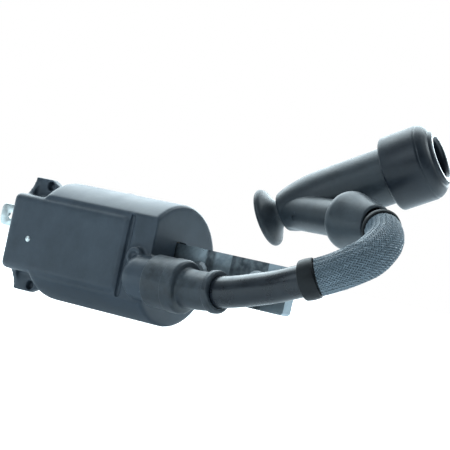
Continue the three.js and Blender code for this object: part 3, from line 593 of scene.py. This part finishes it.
def discard(piece):
    mesh = piece.data
    bpy.data.objects.remove(piece)
    bpy.data.meshes.remove(mesh)


def settle(piece):
    # the modifiers become the mesh
    graph = bpy.context.evaluated_depsgraph_get()
    made = bpy.data.meshes.new_from_object(piece.evaluated_get(graph))
    piece.modifiers.clear()
    old = piece.data
    piece.data = made
    bpy.data.meshes.remove(old)


def joinSolids(piece, others, how):
    for other in others:
        step = piece.modifiers.new("join", "BOOLEAN")
        step.operation = how
        step.solver = "EXACT"
        step.object = other
    settle(piece)
    for other in others:
        discard(other)


def soften(piece, voxel, rounds):
    # one even skin over the joined shapes, with soft inside and outside corners
    skin = piece.modifiers.new("skin", "REMESH")
    skin.mode = "VOXEL"
    skin.voxel_size = voxel * mm
    ease = piece.modifiers.new("ease", "SMOOTH")
    ease.factor = 0.5
    ease.iterations = rounds
    settle(piece)


def smoothFaces(piece, angle=32):
    for face in piece.data.polygons:
        face.use_smooth = True
    piece.data.set_sharp_from_angle(angle=math.radians(angle))


def finishPiece(piece, body, material, stands, angle=32):
    smoothFaces(piece, angle)
    piece.data.materials.clear()
    piece.data.materials.append(materials[material])
    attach(piece, body)
    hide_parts(*stands)
    return piece


def layAlongLead(bm, start):
    # a straight shape on local X is bent to follow the lead from a distance along it
    for vert in bm.verts:
        point, _, side, up = route.at(start + vert.co.x / mm)
        vert.co = (point + side * (vert.co.y / mm) + up * (vert.co.z / mm)) * mm
    return bm


# lead, bands and braid
def makeLead():
    curve = bpy.data.curves.new("htLead", "CURVE")
    curve.dimensions = "3D"
    curve.bevel_depth = lead["radius"] * mm
    curve.bevel_resolution = 10
    curve.use_fill_caps = True
    count = 110
    line = curve.splines.new("POLY")
    line.points.add(count - 1)
    for i, point in enumerate(line.points):
        place = route.at(route.length * i / (count - 1))[0] * mm
        point.co = (*place, 1)
    line.use_smooth = True
    piece = bpy.data.objects.new("htLead", curve)
    scene.collection.objects.link(piece)
    curve.materials.append(materials["leadJacket"])
    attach(piece, "coil")
    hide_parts("ht_lead")
    return piece


def makeBand(name, node, start, length):
    outer = lead["bandRadius"]
    inner = lead["radius"] + lead["skinGap"]
    profile = [(0, inner), (0, outer - 0.12, 0.3), (length * 0.5, outer), (length, outer - 0.12, 0.3),
               (length, inner)]
    bm = spun(profile, 72)
    bmesh.ops.subdivide_edges(bm, edges=[e for e in bm.edges if e.calc_length() > 0.9 * mm], cuts=2)
    layAlongLead(bm, start)
    return finishPiece(objectFrom(bm, name), "coil", "bandRubber", [node])


braid = {
    "carriers": 40,
    "layRadius": 3.85,
    "yarnRadius": 0.19,
    "wave": 0.07,
    "angle": 42,
    "bulge": 0.3,
    "bulgeAt": 53,
    "bulgeWidth": 8,
    "stepsPerCrossing": 4,
    "linerInset": 0.16,
    "drift": 0.015,
    "fuzz": 0.04,
    "crownSamples": 160,
}


def sleeveRadius(distance):
    # the sleeve bunches and swells a little on the turn
    offset = (distance - braid["bulgeAt"]) / braid["bulgeWidth"]
    return braid["layRadius"] + braid["bulge"] * math.exp(-offset * offset)


def makeBraid():
    random.seed(7)
    carriers = braid["carriers"]
    twist = math.tan(math.radians(braid["angle"])) / braid["layRadius"]
    spacing = fullTurn / carriers
    crossing = spacing / 2 / twist
    stepLength = crossing / braid["stepsPerCrossing"]
    length = sleeveTo - sleeveFrom
    steps = int(length / stepLength)
    curve = bpy.data.curves.new("sleeveYarns", "CURVE")
    curve.dimensions = "3D"
    curve.bevel_depth = braid["yarnRadius"] * mm
    curve.bevel_resolution = 0
    for hand in (1, -1):
        for carrier in range(carriers):
            drift = random.uniform(-braid["drift"], braid["drift"])
            line = curve.splines.new("POLY")
            line.points.add(steps)
            for i, point in enumerate(line.points):
                run = length * i / steps
                angle = hand * run * twist + carrier * spacing + drift
                phase = run / crossing * math.pi / 2 + carrier * math.pi + math.pi / 4
                lift = math.sin(phase) * hand * braid["wave"]
                lift += noise.noise(Vector((run * 0.9, carrier * 3.1, hand * 5.0))) * braid["fuzz"]
                place, _, side, up = route.at(sleeveFrom + run)
                reach = sleeveRadius(sleeveFrom + run) + lift
                spot = place + side * (math.cos(angle) * reach) + up * (math.sin(angle) * reach)
                point.co = (*(spot * mm), 1)
            line.use_smooth = True
    source = bpy.data.objects.new("sleeveYarnLines", curve)
    scene.collection.objects.link(source)
    graph = bpy.context.evaluated_depsgraph_get()
    mesh = bpy.data.meshes.new_from_object(source.evaluated_get(graph))
    bpy.data.objects.remove(source)
    bpy.data.curves.remove(curve)
    piece = bpy.data.objects.new("braidedSleeve", mesh)
    scene.collection.objects.link(piece)
    markCrowns(piece)
    return finishPiece(piece, "coil", "braidYarn", ["braided_sleeve"], 80)


def markCrowns(piece):
    # how far out each point of the braid stands, for the painted shade between the yarns
    crown = piece.data.attributes.new("crown", "FLOAT", "POINT")
    samples = []
    length = sleeveTo - sleeveFrom
    for i in range(braid["crownSamples"]):
        distance = sleeveFrom + length * i / (braid["crownSamples"] - 1)
        samples.append((route.at(distance)[0], sleeveRadius(distance)))
    for i, vert in enumerate(piece.data.vertices):
        spot = vert.co / mm
        away, radius = min(((spot - p).length, r) for p, r in samples)
        out = (away - radius + braid["wave"]) / (braid["wave"] * 2 + braid["yarnRadius"])
        crown.data[i].value = min(max(out, 0), 1)


def makeLiner():
    length = sleeveTo - sleeveFrom
    inner = lead["radius"] + lead["skinGap"]
    outer = braid["layRadius"] - braid["linerInset"]
    bm = spun([(0, inner), (0, outer), (length, outer), (length, inner)], 48)
    long = [e for e in bm.edges if e.calc_length() > length * 0.9 * mm]
    bmesh.ops.subdivide_edges(bm, edges=long, cuts=30)
    for vert in bm.verts:
        swell = sleeveRadius(sleeveFrom + vert.co.x / mm) / braid["layRadius"]
        if math.hypot(vert.co.y, vert.co.z) > (inner + outer) / 2 * mm:
            vert.co.y *= swell
            vert.co.z *= swell
    layAlongLead(bm, sleeveFrom)
    piece = objectFrom(bm, "sleeveLiner")
    return finishPiece(piece, "coil", "sleeveLining", ["braided_sleeve"])


htLead = makeLead()
bandCoil = makeBand("sleeveBandCoil", "sleeve_band_coil", sleeveFrom - lead["bandLength"] - lead["gap"],
                    lead["bandLength"])
bandCap = makeBand("sleeveBandCap", "sleeve_band_cap", sleeveTo + lead["gap"], lead["capBandLength"])
sleeve = makeBraid()
liner = makeLiner()
tell("lead, bands and braid")


# coil housing
housing = {
    "radius": 14.15,
    "setback": 8.4,
    "flatDepth": 10.2,
    "boxLength": 36,
    "boxHalfHeight": 9.1,
    "boxFaceDepth": 10.9,
    "boxBackDepth": 8,
    "boxEdge": 1.5,
    "wall": 1.6,
    "endWall": 2,
    "lugStart": 1.1,
    "lugTopLength": 5,
    "lugRampLength": 3.6,
    "lugRampDrop": 1.8,
    "lugInset": 0.5,
    "lugFront": 5.5,
    "lugBack": 3.1,
    "lugHoleDrop": 1.6,
    "lugHoleRadius": 1.1,
    "gussetWidth": 1.3,
    "gussetReach": 1.9,
    "grooveWidth": 1.3,
    "grooveDepth": 0.9,
    "grooveOverlap": 0.4,
    "passage": ((endFaceX - 3, -3.3, -5.6), (endFaceX + 2, 0.3, 5.6)),  # where the bar comes out
    "skin": 0.3,
    "softRounds": 6,
}
tower = {
    "baseRadius": 5.0,
    "baseStart": -28.2,
    "baseEnd": -21,
    "spigotRadius": 4.6,
    "spigotEnd": -13.4,
    "bore": 3.9,
    "boreStart": -20,
    "pinBore": 1.2,
    "pinStart": -27.1,
    "pinReach": 7.8,
}
nub = {"x": -27.2, "radius": 2.2, "length": 6.4, "dish": 0.7, "rise": (4.4, 4.2)}
gate = {"low": (-41.6, coilAxisY - 0.9, 13.5), "high": (-40.2, coilAxisY + 0.4, 14.3), "edge": 0.2}
pinEnd = {"x": -60.0, "z": -1.3, "radius": 0.7, "rise": 0.5}


def drumSolid():
    h = housing
    start = mouthX + h["setback"]
    length = endFaceX - start
    bm = spun([(0, 0), (0, h["radius"], 2.4), (length, h["radius"], 0.7), (length, 0)], 160)
    bm.transform(axisPlace(Vector((start, coilAxisY, 0)), xAxis))
    # the front is cut flat
    bmesh.ops.bisect_plane(bm, geom=bm.verts[:] + bm.edges[:] + bm.faces[:], dist=1e-8,
                           plane_co=(0, (coilAxisY - h["flatDepth"]) * mm, 0), plane_no=(0, -1, 0),
                           clear_outer=True)
    rim = [e for e in bm.edges if e.is_boundary]
    bmesh.ops.holes_fill(bm, edges=rim, sides=0)
    bmesh.ops.recalc_face_normals(bm, faces=bm.faces)
    return objectFrom(bm, "drumSolid")


def boxSolid():
    h = housing
    low = (mouthX, coilAxisY - h["boxFaceDepth"], -h["boxHalfHeight"])
    high = (mouthX + h["boxLength"], coilAxisY + h["boxBackDepth"], h["boxHalfHeight"])
    return objectFrom(cubeShape(low, high, h["boxEdge"], 5), "boxSolid")


def plateShape(corners, depth, name):
    # a flat plate from its corners, grown along a vector
    bm = bmesh.new()
    face = bm.faces.new([bm.verts.new(Vector(corner) * mm) for corner in corners])
    grown = bmesh.ops.extrude_face_region(bm, geom=[face])["geom"]
    corners = [v for v in grown if isinstance(v, bmesh.types.BMVert)]
    bmesh.ops.translate(bm, vec=Vector(depth) * mm, verts=corners)
    bmesh.ops.recalc_face_normals(bm, faces=bm.faces)
    return objectFrom(bm, name)


def lugSolid(side):
    # an eye with a ramp behind it and a gusset before it
    h = housing
    low = mouthX + h["lugStart"]
    base = h["boxHalfHeight"] - 1.5
    top = h["radius"] - h["lugInset"]
    topEnd = low + h["lugTopLength"]
    rampEnd = topEnd + h["lugRampLength"]
    front = coilAxisY - h["lugFront"]
    thick = h["lugFront"] - h["lugBack"]
    outline = [(low, base), (low, top), (topEnd, top), (rampEnd, top - h["lugRampDrop"]), (rampEnd, base)]
    eye = plateShape([(x, front, side * z) for x, z in outline], (0, thick, 0), "lugEye")
    reach = h["gussetReach"]
    outline = [(-reach, base), (0.2, base), (0.2, top - 0.3), (-0.35 * reach, top - 2.4),
               (-reach, h["boxHalfHeight"] + 0.2)]
    gusset = plateShape([(low, front + y, side * z) for y, z in outline], (h["gussetWidth"], 0, 0), "gusset")
    joinSolids(eye, [gusset], "UNION")
    holeStart = Vector((topEnd, front - 2, side * (top - h["lugHoleDrop"])))
    joinSolids(eye, [plainBore(holeStart, 3.7, h["lugHoleRadius"], yAxis, 40)], "DIFFERENCE")
    return eye


def towerSolid():
    t = tower
    length = t["baseEnd"] - t["baseStart"]
    end = t["spigotEnd"] - t["baseStart"]
    profile = [(0, 0), (0, t["baseRadius"], 3.0), (length, t["baseRadius"], 0.3), (length, t["spigotRadius"]),
               (end, t["spigotRadius"], 0.3), (end, 0)]
    return turnedSolid(profile, 96, Vector((t["baseStart"], towerY, towerZ)), xAxis, "towerSolid")


def nubSolid():
    # round moulded nub on top of the tower's root
    end = nub["length"]
    floor = end - nub["dish"]
    profile = [(0, 0), (0, nub["radius"], 0.5), (end, nub["radius"], 0.6), (end, nub["radius"] / 2, 0.2),
               (floor, nub["radius"] / 2 - 0.1, 0.2), (floor, 0)]
    back, up = nub["rise"]
    start = Vector((nub["x"], towerY + back, towerZ + up))
    return turnedSolid(profile, 48, start, -yAxis, "nubSolid")


def gateMark():
    # stub left where the mould was filled
    return objectFrom(cubeShape(gate["low"], gate["high"], gate["edge"]), "gateMark")


def groove():
    # shadow gap along the end of the box
    h = housing
    start = mouthX + h["boxLength"] - 0.1
    face = coilAxisY - h["flatDepth"]
    half = h["boxHalfHeight"] + h["grooveOverlap"]
    end = start + h["grooveWidth"]
    return objectFrom(cubeShape((start, face - 3, -half), (end, face + h["grooveDepth"], half), 0.3), "groove")


def hollowSolid():
    # the room inside: wide in the drum, narrow in the box's end
    h = housing
    wall = h["wall"]
    inner = h["radius"] - wall
    length = endFaceX - mouthX - h["endWall"] + 1
    hollow = plainBore(Vector((mouthX - 1, coilAxisY, 0)), length, inner, xAxis, 96)
    keep = objectFrom(cubeShape((mouthX - 2, coilAxisY - h["flatDepth"] + wall, -h["radius"]),
                                (endFaceX, coilAxisY + h["radius"], h["radius"])), "hollowKeep")
    joinSolids(hollow, [keep], "INTERSECT")
    middle = mouthX + h["setback"] + wall
    half = h["boxHalfHeight"] - wall
    narrow = objectFrom(cubeShape((mouthX - 2, coilAxisY - h["radius"], -half),
                                  (middle + 0.01, coilAxisY + h["boxBackDepth"] - wall, half)), "narrow")
    wide = objectFrom(cubeShape((middle, coilAxisY - h["radius"], -h["radius"]),
                                (endFaceX, coilAxisY + h["radius"], h["radius"])), "wide")
    joinSolids(narrow, [wide], "UNION")
    joinSolids(hollow, [narrow], "INTERSECT")
    return hollow


def makeHousing():
    h, t = housing, tower
    body = drumSolid()
    joinSolids(body, [boxSolid(), lugSolid(1), lugSolid(-1), towerSolid(), nubSolid()], "UNION")
    joinSolids(body, [gateMark()], "UNION")
    joinSolids(body, [groove()], "DIFFERENCE")
    soften(body, h["skin"], h["softRounds"])
    body.name = "coilHousing"
    joinSolids(body, [
        hollowSolid(),
        objectFrom(cubeShape(*h["passage"]), "barPassage"),
        plainBore(Vector((t["boreStart"], towerY, towerZ)), t["spigotEnd"] - t["boreStart"] + 1, t["bore"],
                  xAxis),
        plainBore(Vector((t["pinStart"], towerY, towerZ)), t["pinReach"], t["pinBore"], xAxis, 32),
    ], "DIFFERENCE")
    return finishPiece(body, "coil", "housingMoulding", ["coil_housing"], 40)


def makePip():
    # bright round pin end in the box's face
    face = coilAxisY - housing["boxFaceDepth"]
    radius, rise = pinEnd["radius"], pinEnd["rise"]
    profile = [(-0.4, 0), (-0.4, radius, 0.1), (0.1, radius, 0.1), (0.3, radius - 0.2, 0.2), (rise, 0)]
    piece = turnedSolid(profile, 32, Vector((pinEnd["x"], face, pinEnd["z"])), -yAxis, "housingPin")
    return finishPiece(piece, "coil", "terminalTin", [])


makeHousing()
makePip()
tell("housing")


# tower boot
boot = {
    "start": -20.7,
    "wideEnd": -12,
    "wideRadius": 6,
    "narrowRadius": 4.35,
    "lipRadius": 4.75,
    "lipLength": 1.7,
    "end": -2.6,
    "grip": 4.9,
    "gripLength": 7.6,
    "step": 0.12,  # half of the rim's step
    "stepBack": 3.2,
    "seamHalfWidth": 0.14,
    "seamRise": 1.012,
}


def makeBoot():
    b = boot
    reach = b["start"] - lead["start"][0]
    wide = b["wideEnd"] - b["start"]
    end = b["end"] - b["start"]
    inner = lead["radius"] + 0.05
    gripEnd = b["gripLength"]
    lipStart = end - b["lipLength"]
    stepAt = wide - b["stepBack"]
    profile = [
        (gripEnd, inner), (gripEnd, b["grip"]), (0, b["grip"]), (0, b["wideRadius"] - 0.05, 0.35),
        (stepAt, b["wideRadius"] - b["step"]), (stepAt + 0.2, b["wideRadius"] + b["step"], 0.1),
        (wide, b["wideRadius"] + 0.05, 0.7), (wide + 0.2, b["narrowRadius"], 0.35),
        (lipStart, b["narrowRadius"] - 0.1, 0.2), (lipStart, b["lipRadius"], 0.3),
        (end, b["lipRadius"], 0.5), (end, inner, 0.15), (gripEnd, inner),
    ]
    bm = spun(profile, 96)
    longEdges = [e for e in bm.edges if e.calc_length() > 1.2 * mm
                 and abs(e.verts[0].co.x - e.verts[1].co.x) > mm]
    bmesh.ops.subdivide_edges(bm, edges=longEdges, cuts=5)
    # a faint mould seam down both sides
    for vert in bm.verts:
        radius = math.hypot(vert.co.y, vert.co.z)
        if radius > b["grip"] * mm * 0.87 and abs(vert.co.z) < b["seamHalfWidth"] * mm:
            vert.co.y *= b["seamRise"]
    for vert in bm.verts:
        distance = reach + vert.co.x / mm
        if distance < 0:
            start = Vector(lead["start"])
            vert.co = (start + Vector((distance, 0, 0))) * mm + Vector((0, vert.co.y, vert.co.z))
        else:
            point, _, side, up = route.at(distance)
            vert.co = (point + side * (vert.co.y / mm) + up * (vert.co.z / mm)) * mm
    return finishPiece(objectFrom(bm, "towerBoot"), "coil", "bootRubber", ["tower_boot"])


makeBoot()
tell("boot")


# plug cap
cap = {
    "barrelRadius": 6.6,
    "barrelStart": -1.6,
    "barrelEnd": 29,
    "barrelEndRadius": 4.5,
    "stubRadius": 4.2,
    "stubStart": 2,
    "collarRadius": 5.3,
    "collarStart": 22.2,
    "collarEnd": 28.5,
    "skin": 0.22,
    "bores": (  # from, to, radius, axis
        (2.4, 30, 3.1, barrelAxis), (21, 30, 5, barrelAxis), (-3, 0.7, 2, barrelAxis),
        (socketFloor, 30, 4, entryAxis), (3.6, 22.6, 1.5, entryAxis),
    ),
    "dimpleAt": 7.4,  # small round recess at the root of the stub
    "dimpleRadius": 0.62,
    "dimpleFace": Vector((-0.35, -0.94, 0)),
}


def makeCapBody():
    c = cap
    start = c["barrelStart"]
    barrel = [(start, 0), (start, c["barrelEndRadius"], 0.5), (start + 2.4, 5.4, 1.2),
              (start + 6.5, 6.25, 2.2), (start + 11, c["barrelRadius"], 2.5),
              (c["barrelEnd"], c["barrelRadius"], 0.2), (c["barrelEnd"], 0)]
    body = turnedSolid(barrel, 120, capCentre, barrelAxis, "capBody")
    stub = [(c["stubStart"], 0), (c["stubStart"], c["stubRadius"], 0.8),
            (c["collarStart"], c["stubRadius"], 0.2), (c["collarStart"], c["collarRadius"], 0.2),
            (c["collarEnd"], c["collarRadius"], 0.3), (c["collarEnd"], 0)]
    joinSolids(body, [turnedSolid(stub, 96, capCentre, entryAxis, "stub")], "UNION")
    soften(body, c["skin"], 2)
    spot = entryAt(c["dimpleAt"]) + c["dimpleFace"] * 3.6 + Vector((0, 0, -1.7))
    cuts = [plainBore(capCentre + axis * low, high - low, radius, axis)
            for low, high, radius, axis in c["bores"]]
    cuts.append(plainBore(spot, 2, c["dimpleRadius"], c["dimpleFace"] + Vector((0, 0, -0.2)), 32))
    joinSolids(body, cuts, "DIFFERENCE")
    return finishPiece(body, "plug_cap", "capMoulding", ["cap_body"], 40)


# cap rubbers: profiles run out along their axis from the cap's centre
seal = {"back": 21.2, "rim": 6.8, "grip": 5.6, "gripFrom": 21.9, "gripTo": 28.8, "mouth": 4.5, "bore": 4.0,
        "stub": 4.3}
sealProfile = [
    (seal["back"], seal["stub"]), (seal["back"], 5.2, 0.3), (seal["back"] + 0.9, 6.2, 0.7),
    (seal["back"] + 2.2, seal["rim"], 0.9), (seal["back"] + 3.8, seal["rim"] - 0.2, 0.7),
    (entryReach - 1.0, seal["mouth"] + 0.3, 0.5), (entryReach, seal["mouth"], 0.35), (entryReach, seal["bore"]),
    (seal["gripTo"], seal["bore"]), (seal["gripTo"], seal["grip"]), (seal["gripFrom"], seal["grip"]),
    (seal["gripFrom"], seal["stub"]), (seal["back"], seal["stub"]),
]
knobProfile = [  # dished face, rim, and a flare down to the neck
    (-5.8, 0), (-6.0, 3.2, 1.2), (-6.5, 5.4, 0.8), (-6.1, 6.9, 0.6), (-4.9, 6.9, 0.6), (-4.0, 5.3, 1.4),
    (-3.2, 3.7, 1.2), (-2.4, 3.0, 0.5), (-1.9, 3.0, 0.1), (-1.9, 1.8), (0.3, 1.8), (0.3, 0),
]
skirtProfile = [  # plain wall with one groove, a chamfer, a rolled lip and the bore back in
    (25.9, 6.9), (25.9, 8.75, 0.8), (34.6, 8.8, 0.3), (34.85, 8.6, 0.08), (35.1, 8.68, 0.3), (36.2, 8.1, 0.5),
    (37.2, 7.0, 0.4), (37.35, 6.5, 0.15), (37.7, 6.35, 0.15), (38.2, 5.9, 0.4), (38.2, 4.9, 0.35),
    (37.5, 4.45, 0.2), (35.7, 4.45, 0.3), (34.9, 5.1, 0.3), (29.3, 5.1), (29.3, 6.9), (25.9, 6.9),
]


def makeRubber(name, node, material, profile, steps, axis):
    piece = turnedSolid(profile, steps, capCentre, axis, name)
    return finishPiece(piece, "plug_cap", material, [node])


capPieces = [
    makeCapBody(),
    makeRubber("capEntrySeal", "cap_entry_seal", "sealRubber", sealProfile, 96, entryAxis),
    makeRubber("capPullKnob", "cap_pull_knob", "knobRubber", knobProfile, 96, barrelAxis),
    makeRubber("capSkirt", "cap_skirt", "skirtRubber", skirtProfile, 120, barrelAxis),
]
tell("plug cap")


# primary terminal
blade = {"height": 5.2, "thickness": 0.8, "reach": 6.9, "root": 5.6, "offsetY": -6, "z": 3.3, "hole": 0.8,
         "holeFromTip": 3.2, "corner": 1.3, "edge": 0.14}


def makeBlade():
    b = blade
    y = coilAxisY + b["offsetY"]
    bm = cubeShape((mouthX - b["reach"], y - b["thickness"] / 2, b["z"] - b["height"] / 2),
                   (mouthX + b["root"], y + b["thickness"] / 2, b["z"] + b["height"] / 2))
    corners = [e for e in bm.edges if max(v.co.x for v in e.verts) < (mouthX - 5) * mm
               and abs(e.verts[0].co.y - e.verts[1].co.y) > 0.1 * mm]
    bmesh.ops.bevel(bm, geom=corners, offset=b["corner"] * mm, offset_type="OFFSET", segments=5, profile=0.5,
                    affect="EDGES", material=-1, clamp_overlap=True)
    piece = objectFrom(bm, "primaryTerminal")
    holeStart = Vector((mouthX - b["reach"] + b["holeFromTip"], y - 2, b["z"]))
    joinSolids(piece, [plainBore(holeStart, 4, b["hole"], yAxis, 40)], "DIFFERENCE")
    edge = piece.modifiers.new("edge", "BEVEL")
    edge.width = b["edge"] * mm
    edge.segments = 3
    edge.limit_method = "ANGLE"
    edge.angle_limit = math.radians(50)
    settle(piece)
    return finishPiece(piece, "coil", "terminalTin", ["primary_terminal"])


makeBlade()
tell("terminal")


# finishes on the frame's own parts
frameFinishes = {
    "resinCast": ["potting_resin"],
    "rivetSteel": ["core_rivet_inner", "core_rivet_outer"],
    "bobbinNylon": ["primary_bobbin", "secondary_bobbin"],
    "copperWinding": ["primary_winding", "primary_feed_wire", "primary_ground_wire",
                      "secondary_output_wire", "ht_conductor"],
    "brassTurned": ["tower_pin", "cap_cable_screw", "cap_contact_disc", "resistor_cap_inner",
                    "resistor_cap_outer", "plug_socket"],
    "ceramicBody": ["resistor_body"],
    "springSteel": ["cap_contact_spring", "plug_retaining_clip"],
    "coreSteel": ["core_lamination_%d" % number for number in range(1, 7)],
}
frameFinishes["copperWinding"] += ["secondary_winding_%d" % number for number in range(1, 6)]
for finish, nodeNames in frameFinishes.items():
    for nodeName in nodeNames:
        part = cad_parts[nodeName]
        part.data.materials.clear()
        part.data.materials.append(materials[finish])
tell("frame finishes")


# the parts inside the cap, gathered in a list
capParts = ["cap_cable_screw", "cap_contact_disc", "cap_contact_spring", "resistor_cap_inner",
            "resistor_body", "resistor_cap_outer", "plug_socket", "plug_retaining_clip"]
capParts = [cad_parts[name] for name in capParts]


# floor, lights and surroundings
studio = {
    "floorHeight": -14.75,
    "floorSize": 3.0,
    "floorColour": (0.70, 0.72, 0.73),
    "floorGlow": 0.92,
    "floorBounce": 0.40,
    "bounceColour": (0.66, 0.86, 1.0),
    "seen": (1.0, 1.0, 1.0),
    "bright": (-0.50, 0.70, 0.51),  # the side that the room's light comes from
    "high": 1.25,
    "low": 0.20,
    "tint": (0.78, 0.92, 1.0),
}
lamps = [
    # name, place, aims at, size, watts, colour
    ("backLeftSoftbox", (-0.45, 0.34, 0.52), (-0.01, 0.0, 0.0), (0.9, 0.75), 8.2, (0.80, 0.94, 1.0)),
    ("rightSoftbox", (0.42, 0.45, 0.62), (0.01, 0.0, 0.02), (0.4, 0.3), 2.2, (0.84, 0.95, 1.0)),
    ("backSoftbox", (-0.05, 0.62, 0.24), (0.01, 0.0, 0.02), (0.34, 0.30), 3.6, (0.82, 0.95, 1.0)),
    ("frontFill", (-0.15, -0.75, 0.35), (-0.01, 0.0, 0.0), (0.5, 0.4), 1.5, (0.74, 0.89, 1.0)),
]


def makeFloor():
    bm = bmesh.new()
    bmesh.ops.create_circle(bm, cap_ends=True, segments=96, radius=studio["floorSize"])
    bmesh.ops.translate(bm, vec=(0, 0, studio["floorHeight"] * mm), verts=bm.verts)
    floor = objectFrom(bm, "floor")
    material, tree, shader = newMaterial("floorPaper")
    grain = useGroup(tree, "grain", Scale=900, Cloud_Scale=6)
    duller = tuple(c * 0.97 for c in studio["floorColour"])
    colour = blendColours(tree, grain.outputs["Cloud"], studio["floorColour"], duller)
    shader.inputs["Roughness"].default_value = 0.9
    shader.inputs["Specular IOR Level"].default_value = 0.1
    joinBump(tree, shader, grain.outputs["Height"], 0.02)
    # shown paler than it lights the part
    direct = put(tree, "ShaderNodeLightPath").outputs["Is Camera Ray"]
    shown = blendColours(tree, direct, studio["bounceColour"], studio["seen"])
    glow = spread(tree, direct, 0, 1, studio["floorBounce"], studio["floorGlow"])
    feed(tree, shader, Base_Color=colour, Emission_Color=shown, Emission_Strength=glow)
    floor.data.materials.append(material)


def makeLamps():
    for name, place, aim, size, watts, colour in lamps:
        data = bpy.data.lights.new(name, "AREA")
        data.shape = "RECTANGLE"
        data.size, data.size_y = size
        data.energy = watts
        data.color = colour
        lamp = bpy.data.objects.new(name, data)
        lamp.location = place
        lamp.rotation_euler = (Vector(aim) - Vector(place)).to_track_quat("-Z", "Y").to_euler()
        scene.collection.objects.link(lamp)


def makeWorld():
    # white where it is seen; for reflections, bright behind on the left and dim in front
    world = bpy.data.worlds.new("studio")
    scene.world = world
    world.use_nodes = True
    tree = world.node_tree
    tree.nodes.clear()
    where = put(tree, "ShaderNodeTexCoord").outputs["Generated"]
    towards = put(tree, "ShaderNodeVectorMath", {0: where, 1: studio["bright"]}, operation="DOT_PRODUCT")
    strength = spread(tree, towards.outputs["Value"], 0.1, 0.85, studio["low"], studio["high"])
    room = put(tree, "ShaderNodeBackground", {"Color": (*studio["tint"], 1), "Strength": strength})
    seen = put(tree, "ShaderNodeBackground", {"Color": (*studio["seen"], 1), "Strength": 1.0})
    direct = put(tree, "ShaderNodeLightPath").outputs["Is Camera Ray"]
    mixed = put(tree, "ShaderNodeMixShader", {0: direct, 1: room.outputs[0], 2: seen.outputs[0]})
    out = put(tree, "ShaderNodeOutputWorld")
    tree.links.new(mixed.outputs[0], out.inputs["Surface"])


makeFloor()
makeLamps()
makeWorld()
scene.view_settings.view_transform = "Standard"
scene.view_settings.look = "None"
tell("floor and lights")
